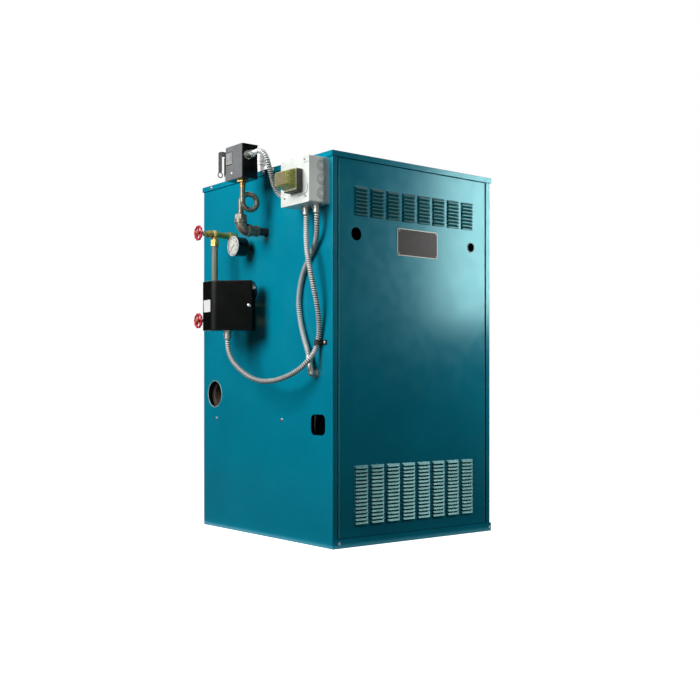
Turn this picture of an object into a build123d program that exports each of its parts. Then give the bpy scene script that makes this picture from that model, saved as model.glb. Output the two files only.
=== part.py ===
from build123d import *
import math
import os

# A home's cast-iron steam boiler, gas fired, in its sheet-steel jacket, with its controls on the left side.
# Millimetres. The origin is on the floor at the middle of the jacket, +Z is up and the door faces -Y.

# Jacket
jacket_w = 552.0
jacket_d = 614.0
boiler_h = 980.0
sheet = 1.2
cap_overhang = 3.5
cap_flange = 14.0
post_w = 15.0
side_flange = 18.0
door_gap = 4.5
door_sill_gap = 0.3
door_fold = 14.0
rail_h = 23.0
rail_lip = 22.0
rail_proud = 2.5
rail_past_side = 2.0
pan_h = 18.0
pan_sheet = 2.0
bend_r = 2.0
fit_gap = 0.3
hole_gap = 1.5

# Louvres of the door
louvre_columns = 8
louvre_column_pitch = 53.0
louvre_w = 45.0
louvre_pitch = 9.3
louvre_throw = 4.2
louvre_sheet = 1.0
louvre_lip = 1.6
upper_rows = 8
upper_louvre_top = 902.0
lower_rows = 16
lower_louvre_top = 203.0
finger_hole_x = 201.0
finger_hole_z = 781.0
left_finger_hole_r = 16.5
right_finger_hole_r = 12.5

# Castings and combustion base
section_count = 5
sections_w = 460.0
sections_y0 = -185.0
sections_y1 = 296.0
sections_z0 = 325.0
sections_z1 = 866.0
section_corner_r = 38.0
section_groove = 9.0
section_groove_depth = 16.0
base_box_w = 480.0
boss_reach = 20.0

# Tappings and openings for the installer
return_y = 247.0
return_z = 380.0
return_bore_r = 28.5
return_boss_r = 44.0
return_boss_reach = 28.0
return_bore_depth = 60.0
return_hole_r = 38.0
gas_hole_y = -247.0
gas_hole_z = 304.0
gas_hole_w = 60.0
gas_hole_h = 52.0
gas_hole_corner_r = 14.0
supply_y = 20.0
supply_bore_r = 34.0
supply_boss_r = 47.0
supply_above_cap = 18.0
supply_bore_depth = 80.0
top_boss_wall = 3.5
flue_y = 190.0
flue_r = 89.0
flue_neck_r = 86.5
flue_sheet = 1.5
flue_above_cap = 40.0
flue_flange_w = 14.0

# Gauge glass and its two cocks
gauge_y = 134.0
upper_cock_z = 817.0
lower_cock_z = 579.0
glass_x = -344.0
glass_r = 8.2
glass_wall = 2.0
shank_r = 8.6
cock_body_r = 9.5
cock_tee_r = 12.5
cock_drop = 14.0
cock_body_len = 18.0
cock_nut_out = 14.0
cock_nut_w = 9.0
glass_nut_af = 22.0
glass_nut_h = 17.0
bonnet_nut_out = 15.0
bonnet_nut_w = 8.0
bonnet_nut_af = 19.0
bonnet_r = 6.8
bonnet_end_x = -379.0
wheel_x = -396.0
wheel_r = 20.0
wheel_rim_r = 2.7
wheel_hub_r = 6.2
wheel_hub_w = 10.0
wheel_spokes = 5
spoke_r = 2.3
spindle_r = 3.5
spindle_clearance = 0.06
spindle_depth = 14.0

# Pressure gauge
dial_y = 60.0
dial_z = 779.0
dial_x = -333.0
gauge_case_r = 25.5
bezel_r = 27.0
bezel_w = 6.0
dial_recess = 2.5
dial_t = 1.0
bezel_lip = 1.5
bezel_round = 1.2
gauge_back_round = 4.0
gauge_depth = 38.0
gauge_stem_r = 7.0
gauge_nut_af = 19.0
gauge_nut_w = 9.0

# Siphon and the pipe that carries it
pipe_y = -18.0
pipe_z = 812.0
siphon_x = -357.0
pipe_r = 10.7
elbow_reach = 26.0
elbow_body_r = 14.0
elbow_collar_r = 17.0
elbow_collar_w = 9.0
elbow_bend_r = 17.0
coupling_r = 15.0
coupling_len = 25.0
coupling_bead = 1.5
coupling_bead_w = 6.0
bushing_af = 30.0
bushing_h = 12.0
bushing_neck_r = 9.0
bushing_neck_h = 5.0
siphon_tube_r = 6.85
siphon_loop_r = 21.0
siphon_loop_z = 884.0
siphon_turn = 15.0
siphon_pitch = 14.5
siphon_top_z = 919.0
siphon_share = 0.49

# Pressure control
control_depth = 47.0
control_mid_y = -28.5
control_face_past_exit = 15.0
control_w = 77.0
control_h = 88.0
control_z0 = 938.0
control_cover_t = 3.5
control_lip = 2.0
control_corner_r = 2.5
control_cover_round = 1.5
control_hex_af = 28.0
control_hex_h = 5.0
control_neck_r = 7.8

# Low-water cutoff
cutoff_w = 140.0
cutoff_h = 132.0
cutoff_d = 45.0
cutoff_chamfer = 33.0
cutoff_round_r = 30.0
cutoff_edge_r = 3.0
cutoff_back_x = -347.0
cutoff_back_y = 53.5
cutoff_z = 615.0
cutoff_yaw = 45.0
probe_r = 13.5
probe_collar_r = 17.5
probe_collar_w = 9.0
probe_bend_r = 22.0
probe_arm = 35.4

# Junction box and transformer
box_y = -234.5
box_w = 119.0
box_z0 = 849.0
box_h = 114.0
box_d = 60.0
box_sheet = 1.6
box_corner_r = 4.0
box_cover_t = 2.0
transformer_y = -242.0
transformer_z = 904.5
core_w = 50.0
core_h = 55.0
core_t = 20.0
coil_w = 40.0
coil_h = 44.0
coil_t = 30.0
coil_r = 6.0
coil_round = 3.0

# Conduits and their connectors
conduit_r = 6.0
conduit_share = 0.45
connector_r = 9.5
connector_flange_r = 11.5
connector_flange_t = 3.0
connector_len = 22.0
connector_round = 1.0
limit_exit_x = -368.0
limit_exit_z = 997.0
box_side_x = -304.0
box_side_z = 885.0
box_bottom_x = -301.0
cutoff_drop_y = -232.0
valve_drop_y = -276.0
cutoff_entry_x = -363.0
cutoff_entry_y = 37.5
elbow_conn_r = 8.5
elbow_conn_arm = 45.0
elbow_outlet_r = 7.5
elbow_outlet_reach = 8.0
elbow_shoulder_r = 12.0
elbow_shoulder_t = 3.0
clip_y = -258.8
clip_z = 509.0
clip_bore_r = 8.0
clip_t = 1.4
clip_w = 13.0
clip_foot = 26.0
boss_wall = 7.0

# Pieces on the cap
top_boss_h = 20.0
valve_x = -214.0
valve_y = 262.0
valve_body_r = 19.0
valve_neck_r = 13.0
valve_neck_h = 34.0
valve_hex_af = 32.0
valve_hex_h = 12.0
valve_top_z = 1070.0
valve_bevel = 4.0
valve_ear_t = 2.5
valve_ear_w = 12.0
valve_ear_z1 = 1084.0
lever_pivot_z = 1079.0
lever_len = 35.0
lever_w = 7.0
lever_t = 2.4
lever_eye_r = 5.0
lever_drop = 56.0
lever_ring_r = 9.0
lever_gap = 0.4
lever_pin_r = 2.0
skim_x = -214.0
skim_y = 104.0
skim_pipe_r = 10.7
skim_cap_r = 16.5
skim_collar_r = 14.0
skim_collar_h = 9.0
skim_cap_h = 27.0
skim_cap_round = 3.0
skim_cap_z0 = 1029.0

half_w = jacket_w / 2
half_d = jacket_d / 2
left_x = -half_w
front_y = -half_d
cap_under_z = boiler_h - sheet
boss_face_x = -sections_w / 2 - boss_reach
door_half_w = half_w - post_w - door_gap
cutoff_turn = math.radians(cutoff_yaw)
cutoff_out = Vector(-math.cos(cutoff_turn), -math.sin(cutoff_turn), 0)
cutoff_across = Vector(math.sin(cutoff_turn), -math.cos(cutoff_turn), 0)
probe_corner = Vector(cutoff_back_x, cutoff_back_y, cutoff_z) - cutoff_out * probe_arm
probe_y = probe_corner.Y
door_z0 = rail_h + door_sill_gap
door_z1 = boiler_h - cap_flange - door_sill_gap

# Routes of the three flexible conduits, from end to end
limit_route = [
    (-368, -89, 997), (-368, -101, 997), (-368, -114, 999), (-366, -128, 997), (-363, -139, 988),
    (-359, -144.5, 974), (-353, -144, 957), (-345, -140, 942), (-336, -133, 928), (-328, -129, 916),
    (-320, -126, 905), (-313, -127, 895), (-307, -133, 888), (-304, -142, 885), (-304, -153, 885),
]
cutoff_route = [
    (-301, -232, 827), (-301, -232, 800), (-308, -241, 765), (-314, -255, 723), (-312, -267, 675),
    (-305, -274, 628), (-295, -274, 584), (-287, -268, 547), (-283.7, -260, 516), (-288, -256, 495),
    (-298, -255, 477), (-311, -249, 461), (-322, -233, 443), (-333, -201, 426), (-345, -155, 414),
    (-354, -108, 413), (-360, -61, 425), (-362, -19, 446), (-363, 6, 462), (-363, 24, 479),
    (-363, 34.5, 499), (-363, 37.5, 514), (-363, 37.5, 527),
]
valve_route = [
    (-301, -276, 827), (-301, -276, 805), (-293, -266, 777), (-286, -247, 750), (-284, -221, 722),
    (-284, -196, 691), (-284, -181, 654), (-284, -175, 616), (-284, -180, 582), (-285, -189, 552),
    (-286, -201, 525), (-288, -214, 502), (-290, -223.5, 488), (-290, -227, 476),
]


# The right-angle connector lies along the last run of the valve's conduit
elbow_arm = (Vector(*valve_route[-1]) - Vector(*valve_route[-2])).normalized()
elbow_centre = Vector(*valve_route[-1]) + elbow_arm * elbow_conn_arm
elbow_outlet_y = elbow_centre.Y
elbow_outlet_z = elbow_centre.Z


def corner_radii(route, share):
    """Largest radius that each corner's shorter run allows."""
    points = [Vector(*p) for p in route]
    radii = []
    for before, here, after in zip(points, points[1:], points[2:]):
        turn = math.radians((here - before).get_angle(after - here))
        shorter = min((here - before).length, (after - here).length)
        radii.append(share * shorter / math.tan(turn / 2))
    return radii


def swept_tube(route, radius, share):
    """Round bar along straight runs joined by tangent arcs."""
    with BuildPart() as tube:
        with BuildLine() as path:
            FilletPolyline(*route, radius=corner_radii(route, share))
        with BuildSketch(path.line ^ 0):
            Circle(radius)
        sweep()
    length = sum(edge.length for edge in path.edges())
    section = math.pi * radius**2
    print(f"  length {length:.0f}, volume {tube.part.volume:.0f}, section times length {section * length:.0f}")
    return tube.part


def out_of_jacket(x, y, z):
    """Plane square to the left side, looking out of the jacket, with its second axis up."""
    return Plane(origin=(x, y, z), x_dir=(0, -1, 0), z_dir=(-1, 0, 0))


def round_bar(plane, radius, length, mode=Mode.ADD):
    """Round bar that starts on a plane."""
    with BuildSketch(plane) as section:
        Circle(radius)
    extrude(section.sketch, amount=length, mode=mode)


def hex_bar(plane, across_flats, length):
    """Hexagon bar that starts on a plane."""
    with BuildSketch(plane) as section:
        RegularPolygon(across_flats / 2, 6, major_radius=False)
    extrude(section.sketch, amount=length)


def save(part, label):
    """Names a finished piece and writes its file."""
    part.label = label
    export_step(part, f"parts/{label}.step")


os.makedirs("parts", exist_ok=True)

# Side panels: one sheet each, folded in at the front to make the posts and at the rear to carry the back


def side_panel(x_out, folds_in):
    """Folded side sheet whose outer face lies at x_out."""
    with BuildPart() as panel:
        with BuildSketch():
            with BuildLine():
                Polyline(
                    (x_out, front_y),
                    (x_out, half_d),
                    (x_out + folds_in * side_flange, half_d),
                    (x_out + folds_in * side_flange, half_d - sheet),
                    (x_out + folds_in * sheet, half_d - sheet),
                    (x_out + folds_in * sheet, front_y + sheet),
                    (x_out + folds_in * post_w, front_y + sheet),
                    (x_out + folds_in * post_w, front_y),
                    close=True,
                )
            make_face()
        extrude(amount=cap_under_z)
        upright = panel.edges().filter_by(Axis.Z)
        inside_bend = upright.sort_by_distance((x_out + folds_in * sheet, front_y + sheet, cap_under_z / 2))[0]
        fillet(inside_bend, radius=bend_r - sheet)
        upright = panel.edges().filter_by(Axis.Z)
        outside_bend = upright.sort_by_distance((x_out, front_y, cap_under_z / 2))[0]
        fillet(outside_bend, radius=bend_r)
    return panel.part


trim_holes = [
    (gauge_y, upper_cock_z, shank_r + hole_gap),
    (gauge_y, lower_cock_z, shank_r + hole_gap),
    (dial_y, dial_z, gauge_stem_r + hole_gap),
    (pipe_y, pipe_z, pipe_r + hole_gap),
    (probe_y, cutoff_z, probe_r + hole_gap),
    (elbow_outlet_y, elbow_outlet_z, elbow_outlet_r + fit_gap),
]
with BuildPart() as left_side_panel:
    add(side_panel(left_x, 1))
    with BuildSketch(out_of_jacket(left_x, return_y, return_z)):
        Circle(return_hole_r)
    extrude(amount=-2 * sheet, mode=Mode.SUBTRACT)
    with BuildSketch(out_of_jacket(left_x, gas_hole_y, gas_hole_z)):
        RectangleRounded(gas_hole_w, gas_hole_h, gas_hole_corner_r)
    extrude(amount=-2 * sheet, mode=Mode.SUBTRACT)
    for hole_y, hole_z, hole_r in trim_holes:
        with BuildSketch(out_of_jacket(left_x, hole_y, hole_z)):
            Circle(hole_r)
        extrude(amount=-2 * sheet, mode=Mode.SUBTRACT)
save(left_side_panel.part, "left_side_panel")

with BuildPart() as right_side_panel:
    add(side_panel(half_w, -1))
    with BuildSketch(Plane(origin=(half_w, return_y, return_z), x_dir=(0, 1, 0), z_dir=(1, 0, 0))):
        Circle(return_hole_r)
    extrude(amount=-2 * sheet, mode=Mode.SUBTRACT)
save(right_side_panel.part, "right_side_panel")

# Back sheet, screwed on the rear folds under the cap's edge
rear_top_z = boiler_h - cap_flange - fit_gap
with BuildPart() as rear_panel:
    with BuildSketch():
        with Locations((0, half_d + sheet / 2)):
            Rectangle(jacket_w - 2 * fit_gap, sheet)
    extrude(amount=rear_top_z)
save(rear_panel.part, "rear_panel")

# Cap: a shallow folded lid over the panels, cut for the steam supply, the flue and the two top tappings
cap_w = jacket_w + 2 * cap_overhang
cap_d = jacket_d + 2 * cap_overhang
with BuildPart() as top_panel:
    with BuildSketch(Plane.XY.offset(boiler_h - cap_flange)):
        Rectangle(cap_w, cap_d)
    extrude(amount=cap_flange)
    fillet(top_panel.edges().group_by(Axis.Z)[-1], radius=sheet)
    with BuildSketch(Plane.XY.offset(boiler_h - cap_flange)):
        Rectangle(cap_w - 2 * sheet, cap_d - 2 * sheet)
    extrude(amount=cap_flange - sheet, mode=Mode.SUBTRACT)
    with BuildSketch(Plane.XY.offset(cap_under_z)):
        with Locations((0, supply_y)):
            Circle(supply_boss_r + hole_gap)
        with Locations((0, flue_y)):
            Circle(flue_neck_r + hole_gap)
        with Locations((valve_x, valve_y)):
            Circle(valve_neck_r + hole_gap)
        with Locations((skim_x, skim_y)):
            Circle(skim_pipe_r + hole_gap)
    extrude(amount=sheet, mode=Mode.SUBTRACT)
save(top_panel.part, "top_panel")

# Front rail: a folded angle across the posts that the door stands on
rail_y0 = front_y - rail_proud
with BuildPart() as base_front_rail:
    with BuildSketch(Plane.YZ.offset(-half_w - rail_past_side)):
        with BuildLine():
            Polyline(
                (rail_y0, 0),
                (rail_y0, rail_h),
                (front_y + rail_lip, rail_h),
                (front_y + rail_lip, rail_h - sheet),
                (front_y, rail_h - sheet),
                (front_y, 0),
                close=True,
            )
        make_face()
    extrude(amount=jacket_w + 2 * rail_past_side)
    lip_end = Box(post_w + rail_past_side + fit_gap, rail_lip, rail_h, mode=Mode.PRIVATE)
    for side in (-1, 1):
        end_x = side * (half_w + rail_past_side - (post_w + rail_past_side + fit_gap) / 2)
        add(Pos(end_x, front_y + rail_lip / 2, rail_h / 2) * lip_end, mode=Mode.SUBTRACT)
save(base_front_rail.part, "base_front_rail")

# Base pan: folded tray that the boiler stands on
pan_w = jacket_w - 2 * sheet - 2 * fit_gap
pan_y0 = front_y + sheet + fit_gap
pan_y1 = half_d - sheet - fit_gap
with BuildPart() as base_pan:
    with BuildSketch():
        with Locations((0, (pan_y0 + pan_y1) / 2)):
            Rectangle(pan_w, pan_y1 - pan_y0)
    extrude(amount=pan_h)
    offset(amount=-pan_sheet, openings=base_pan.faces().sort_by(Axis.Z)[-1])
save(base_pan.part, "base_pan")

# Combustion base: closed sheet housing round the burners
with BuildPart() as combustion_base:
    with BuildSketch(Plane.XY.offset(pan_sheet)):
        with Locations((0, (sections_y0 + sections_y1) / 2)):
            Rectangle(base_box_w, sections_y1 - sections_y0)
    extrude(amount=sections_z0 - pan_sheet)
    fillet(combustion_base.edges().filter_by(Axis.Z), radius=pan_sheet)
save(combustion_base.part, "combustion_base")

# Castings: five hollow sections drawn together side by side, with their tappings
section_pitch = sections_w / section_count
with BuildPart() as boiler_sections:
    with BuildSketch(Plane.YZ.offset(-sections_w / 2)):
        with Locations(((sections_y0 + sections_y1) / 2, (sections_z0 + sections_z1) / 2)):
            RectangleRounded(sections_y1 - sections_y0, sections_z1 - sections_z0, section_corner_r)
    extrude(amount=sections_w)
    for joint in range(1, section_count):
        joint_x = -sections_w / 2 + joint * section_pitch - section_groove / 2
        with BuildSketch(Plane.YZ.offset(joint_x)):
            with Locations(((sections_y0 + sections_y1) / 2, (sections_z0 + sections_z1) / 2)):
                RectangleRounded(sections_y1 - sections_y0, sections_z1 - sections_z0, section_corner_r)
                RectangleRounded(
                    sections_y1 - sections_y0 - 2 * section_groove_depth,
                    sections_z1 - sections_z0 - 2 * section_groove_depth,
                    section_corner_r - section_groove_depth,
                    mode=Mode.SUBTRACT,
                )
        extrude(amount=section_groove, mode=Mode.SUBTRACT)
    trim_bosses = [
        (gauge_y, upper_cock_z, shank_r),
        (gauge_y, lower_cock_z, shank_r),
        (dial_y, dial_z, gauge_stem_r),
        (pipe_y, pipe_z, pipe_r),
        (probe_y, cutoff_z, probe_r),
    ]
    for boss_y, boss_z, stem_r in trim_bosses:
        round_bar(out_of_jacket(-sections_w / 2, boss_y, boss_z), stem_r + boss_wall, boss_reach)
    for side in (-1, 1):
        side_x = side * sections_w / 2
        side_plane = Plane(origin=(side_x, return_y, return_z), x_dir=(0, side, 0), z_dir=(side, 0, 0))
        with BuildSketch(side_plane):
            Circle(return_boss_r)
        extrude(amount=return_boss_reach)
        with BuildSketch(side_plane.offset(return_boss_reach)):
            Circle(return_bore_r)
        extrude(amount=-return_bore_depth, mode=Mode.SUBTRACT)
    for boss_x, boss_y, stem_r in [(valve_x, valve_y, valve_neck_r), (skim_x, skim_y, skim_pipe_r)]:
        with BuildSketch(Plane.XY.offset(sections_z1 - section_corner_r)):
            with Locations((boss_x, boss_y)):
                Circle(stem_r + top_boss_wall)
        extrude(amount=section_corner_r + top_boss_h)
    with BuildSketch(Plane.XY.offset(sections_z1)):
        with Locations((0, supply_y)):
            Circle(supply_boss_r)
    extrude(amount=boiler_h + supply_above_cap - sections_z1)
    with BuildSketch(Plane.XY.offset(boiler_h + supply_above_cap)):
        with Locations((0, supply_y)):
            Circle(supply_bore_r)
    extrude(amount=-supply_bore_depth, mode=Mode.SUBTRACT)
save(boiler_sections.part, "boiler_sections")

# Flue outlet: a neck on the castings, a flange that lies on the cap, and the collar that takes the flue pipe
with BuildPart() as flue_collar:
    with BuildSketch(Plane.XY.offset(sections_z1)):
        with Locations((0, flue_y)):
            Circle(flue_neck_r)
            Circle(flue_neck_r - flue_sheet, mode=Mode.SUBTRACT)
    extrude(amount=boiler_h - sections_z1)
    with BuildSketch(Plane.XY.offset(boiler_h)):
        with Locations((0, flue_y)):
            Circle(flue_r + flue_flange_w)
            Circle(flue_neck_r - flue_sheet, mode=Mode.SUBTRACT)
    extrude(amount=sheet)
    with BuildSketch(Plane.XY.offset(boiler_h + sheet)):
        with Locations((0, flue_y)):
            Circle(flue_r)
            Circle(flue_r - flue_sheet, mode=Mode.SUBTRACT)
    extrude(amount=flue_above_cap)
save(flue_collar.part, "flue_collar")


# Hood of one louvre, pressed out at its lower lip, and the hollow that the press leaves behind it


def louvre_wedge(width, height, throw, lip):
    """Wedge on the sheet's face that is thickest along its lower edge."""
    with BuildPart() as wedge:
        with BuildSketch(Plane.XZ):
            Rectangle(width, height)
        with BuildSketch(Plane.XZ.offset(throw)):
            with Locations((0, (lip - height) / 2)):
                Rectangle(width - 2 * throw, lip)
        loft()
    return wedge.part


louvre_h = louvre_pitch - louvre_sheet
louvre_outside = louvre_wedge(louvre_w, louvre_h, louvre_throw, louvre_lip)
louvre_inside = Pos(0, 0, -louvre_sheet) * louvre_wedge(
    louvre_w - 2 * louvre_sheet, louvre_h, louvre_throw - louvre_sheet, louvre_lip
)
with BuildPart() as louvre:
    with Locations((0, sheet / 2, 0)):
        Box(louvre_column_pitch, sheet, louvre_pitch)
    add(louvre_outside)
    add(louvre_inside, mode=Mode.SUBTRACT)
    with Locations((0, sheet / 2, -louvre_sheet / 2)):
        Box(louvre_w - 2 * louvre_sheet, sheet, louvre_h - louvre_sheet, mode=Mode.SUBTRACT)


def louvre_field(rows):
    """Field of louvres, column by column, whose top edge is at the origin."""
    with BuildPart() as column:
        with Locations(*[(0, 0, -(row + 0.5) * louvre_pitch) for row in range(rows)]):
            add(louvre.part)
    first_x = -(louvre_columns - 1) / 2 * louvre_column_pitch
    with BuildPart() as field:
        with Locations(*[(first_x + n * louvre_column_pitch, 0, 0) for n in range(louvre_columns)]):
            add(column.part)
    return field.part


# Front door: a folded tray with two fields of louvres and two finger holes
with BuildPart() as front_door:
    with BuildSketch(Plane.XZ.offset(half_d)):
        with Locations((0, (door_z0 + door_z1) / 2)):
            Rectangle(2 * door_half_w, door_z1 - door_z0)
    extrude(amount=-door_fold)
    fillet(front_door.faces().sort_by(Axis.Y)[0].edges(), radius=bend_r)
    with BuildSketch(Plane.XZ.offset(half_d - sheet)):
        with Locations((0, (door_z0 + door_z1) / 2)):
            Rectangle(2 * door_half_w - 2 * sheet, door_z1 - door_z0 - 2 * sheet)
    extrude(amount=sheet - door_fold, mode=Mode.SUBTRACT)
    with BuildSketch(Plane.XZ.offset(half_d)):
        with Locations((-finger_hole_x, finger_hole_z)):
            Circle(left_finger_hole_r)
        with Locations((finger_hole_x, finger_hole_z)):
            Circle(right_finger_hole_r)
        for rows, top_z in [(upper_rows, upper_louvre_top), (lower_rows, lower_louvre_top)]:
            with Locations((0, top_z - rows * louvre_pitch / 2)):
                Rectangle(louvre_columns * louvre_column_pitch, rows * louvre_pitch)
    extrude(amount=-sheet, mode=Mode.SUBTRACT)
    for rows, top_z in [(upper_rows, upper_louvre_top), (lower_rows, lower_louvre_top)]:
        with Locations((0, front_y, top_z)):
            add(louvre_field(rows))
save(front_door.part, "front_door")


# Gauge cocks: a turned brass body each, screwed into the end section, with a nut that grips the glass
def gauge_cock(z, toward_glass):
    """Brass cock at height z whose glass nut points up (1) or down (-1)."""
    shank = out_of_jacket(boss_face_x, gauge_y, z)
    glass_plane = Plane(origin=(glass_x, gauge_y, z), x_dir=(1, 0, 0), z_dir=(0, 0, toward_glass))
    with BuildPart() as cock:
        round_bar(shank, shank_r, boss_face_x - glass_x)
        hex_bar(out_of_jacket(left_x - cock_nut_out, gauge_y, z), glass_nut_af, cock_nut_w)
        with Locations((glass_x, gauge_y, z)):
            Sphere(cock_tee_r)
        round_bar(out_of_jacket(glass_x, gauge_y, z), cock_body_r, cock_body_len)
        hex_bar(out_of_jacket(glass_x - bonnet_nut_out, gauge_y, z), bonnet_nut_af, bonnet_nut_w)
        bonnet_x = glass_x - cock_body_len
        round_bar(out_of_jacket(bonnet_x, gauge_y, z), bonnet_r, bonnet_x - bonnet_end_x)
        round_bar(glass_plane, cock_body_r, cock_drop)
        hex_bar(glass_plane.offset(cock_drop), glass_nut_af, glass_nut_h)
        round_bar(glass_plane.offset(cock_drop), glass_r + fit_gap, glass_nut_h, mode=Mode.SUBTRACT)
        bonnet_end = out_of_jacket(bonnet_end_x, gauge_y, z)
        round_bar(bonnet_end, spindle_r + spindle_clearance, -spindle_depth, mode=Mode.SUBTRACT)
    return cock.part


save(gauge_cock(upper_cock_z, -1), "upper_gauge_cock")
save(gauge_cock(lower_cock_z, 1), "lower_gauge_cock")

# Gauge glass: plain tube that stands between the two nuts
with BuildPart() as gauge_glass:
    glass_z0 = lower_cock_z + cock_drop + fit_gap
    glass_z1 = upper_cock_z - cock_drop - fit_gap
    glass_foot = Plane(origin=(glass_x, gauge_y, glass_z0))
    round_bar(glass_foot, glass_r, glass_z1 - glass_z0)
    round_bar(glass_foot, glass_r - glass_wall, glass_z1 - glass_z0, mode=Mode.SUBTRACT)
save(gauge_glass.part, "gauge_glass")


# Handwheels: cast rim, hub and spokes on a spindle that runs in the bonnet
def handwheel(z):
    """Wheel and spindle of the cock at height z."""
    face = out_of_jacket(wheel_x, gauge_y, z)
    with BuildPart() as wheel:
        with Locations(face):
            Torus(wheel_r - wheel_rim_r, wheel_rim_r)
        round_bar(face.offset(-wheel_hub_w / 2), wheel_hub_r, wheel_hub_w)
        for spoke in range(wheel_spokes):
            turn = 90 + spoke * 360 / wheel_spokes
            with Locations(face * Rot(0, 0, turn) * Pos((wheel_r - wheel_rim_r) / 2, 0, 0)):
                Cylinder(spoke_r, wheel_r - wheel_rim_r, rotation=(0, 90, 0))
        reach = bonnet_end_x - wheel_x + spindle_depth - fit_gap
        round_bar(face, spindle_r, -reach)
    return wheel.part


save(handwheel(upper_cock_z), "upper_handwheel")
save(handwheel(lower_cock_z), "lower_handwheel")

# Pressure gauge: drawn steel case with a bezel, a stem with a nut behind it, and its dial
with BuildPart() as gauge_case:
    dial_face = out_of_jacket(dial_x, dial_y, dial_z)
    round_bar(dial_face, gauge_case_r, -gauge_depth)
    round_bar(dial_face, bezel_r, -bezel_w)
    fillet(gauge_case.edges().group_by(Axis.X)[-1], radius=gauge_back_round)
    round_bar(dial_face, gauge_case_r - bezel_lip, -dial_recess - dial_t, mode=Mode.SUBTRACT)
    fillet(gauge_case.edges().group_by(Axis.X)[0].sort_by(SortBy.LENGTH)[-1], radius=bezel_round)
save(gauge_case.part, "gauge_case")
with BuildPart() as gauge_dial:
    round_bar(dial_face.offset(-dial_recess), gauge_case_r - bezel_lip, -dial_t)
save(gauge_dial.part, "gauge_dial")
with BuildPart() as gauge_stem:
    gauge_back_x = dial_x + gauge_depth
    round_bar(out_of_jacket(boss_face_x, dial_y, dial_z), gauge_stem_r, boss_face_x - gauge_back_x)
    hex_bar(out_of_jacket(gauge_back_x + gauge_nut_w, dial_y, dial_z), gauge_nut_af, gauge_nut_w)
save(gauge_stem.part, "gauge_stem")

# Pipe that carries the siphon: nipple from the end section, coupling and malleable elbow
elbow_end_x = siphon_x + elbow_reach
coupling_end_x = elbow_end_x + coupling_len
with BuildPart() as trim_nipple:
    round_bar(out_of_jacket(boss_face_x, pipe_y, pipe_z), pipe_r, boss_face_x - coupling_end_x)
save(trim_nipple.part, "trim_nipple")
with BuildPart() as trim_coupling:
    coupling_plane = out_of_jacket(coupling_end_x, pipe_y, pipe_z)
    round_bar(coupling_plane, coupling_r - coupling_bead, coupling_len)
    round_bar(coupling_plane, coupling_r, coupling_bead_w)
    round_bar(coupling_plane.offset(coupling_len - coupling_bead_w), coupling_r, coupling_bead_w)
save(trim_coupling.part, "trim_coupling")
with BuildPart() as trim_elbow:
    with BuildLine() as elbow_path:
        FilletPolyline(
            (elbow_end_x, pipe_y, pipe_z),
            (siphon_x, pipe_y, pipe_z),
            (siphon_x, pipe_y, pipe_z + elbow_reach),
            radius=elbow_bend_r,
        )
    with BuildSketch(out_of_jacket(elbow_end_x, pipe_y, pipe_z)):
        Circle(elbow_body_r)
    sweep()
    round_bar(out_of_jacket(elbow_end_x, pipe_y, pipe_z), elbow_collar_r, elbow_collar_w)
    round_bar(Plane(origin=(siphon_x, pipe_y, pipe_z + elbow_reach)), elbow_collar_r, -elbow_collar_w)
save(trim_elbow.part, "trim_elbow")
with BuildPart() as siphon_bushing:
    bushing_plane = Plane(origin=(siphon_x, pipe_y, pipe_z + elbow_reach))
    hex_bar(bushing_plane, bushing_af, bushing_h)
    round_bar(bushing_plane.offset(bushing_h), bushing_neck_r, bushing_neck_h)
save(siphon_bushing.part, "siphon_bushing")

# Siphon: quarter-inch pipe bent once round, so that water stays between the steam and the control
loop_across = Vector(math.cos(math.radians(siphon_turn)), -math.sin(math.radians(siphon_turn)), 0)
loop_along = Vector(math.sin(math.radians(siphon_turn)), math.cos(math.radians(siphon_turn)), 0)
loop_corners = 8
loop_top = Vector(siphon_x, pipe_y, 0) - loop_along * siphon_pitch


def loop_point(across, along, z):
    """Point of the siphon's route, measured from the upper leg."""
    point = loop_top + loop_across * across + loop_along * along
    return (point.X, point.Y, z)


siphon_foot_z = pipe_z + elbow_reach + bushing_h + bushing_neck_h
siphon_route = [loop_point(0, 0, siphon_top_z)]
for corner in range(loop_corners):
    angle = math.pi + (corner + 0.5) * 2 * math.pi / loop_corners
    reach = siphon_loop_r / math.cos(math.pi / loop_corners)
    siphon_route.append(
        loop_point(
            siphon_loop_r + reach * math.cos(angle),
            siphon_pitch * corner / (loop_corners - 1),
            siphon_loop_z + reach * math.sin(angle),
        )
    )
siphon_route.append(loop_point(0, siphon_pitch, siphon_foot_z))
siphon = swept_tube(siphon_route, siphon_tube_r, siphon_share)
save(siphon, "siphon")
control_x = loop_top.X
control_y = loop_top.Y

# Pressure control: steel case, its cover on the side away from the boiler, and a brass neck below
with BuildPart() as control_neck:
    round_bar(Plane(origin=(control_x, control_y, siphon_top_z)), control_neck_r, control_z0 - siphon_top_z)
    hex_bar(Plane(origin=(control_x, control_y, control_z0 - control_hex_h)), control_hex_af, control_hex_h)
save(control_neck.part, "control_neck")
control_face_x = limit_exit_x - control_face_past_exit
with BuildPart() as control_case:
    with BuildSketch(Plane(origin=(control_face_x, control_mid_y, control_z0), z_dir=(0, 0, 1))):
        with Locations((control_depth / 2, 0)):
            Rectangle(control_depth, control_w)
    extrude(amount=control_h)
    fillet(control_case.edges().filter_by(Axis.Z), radius=control_corner_r)
    with BuildSketch(Plane(origin=(control_face_x, control_mid_y, control_z0 + control_h), z_dir=(0, 0, 1))):
        with Locations((control_depth / 2, 0)):
            Rectangle(control_depth, control_w + 2 * control_lip)
    extrude(amount=-control_lip)
save(control_case.part, "control_case")
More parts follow.
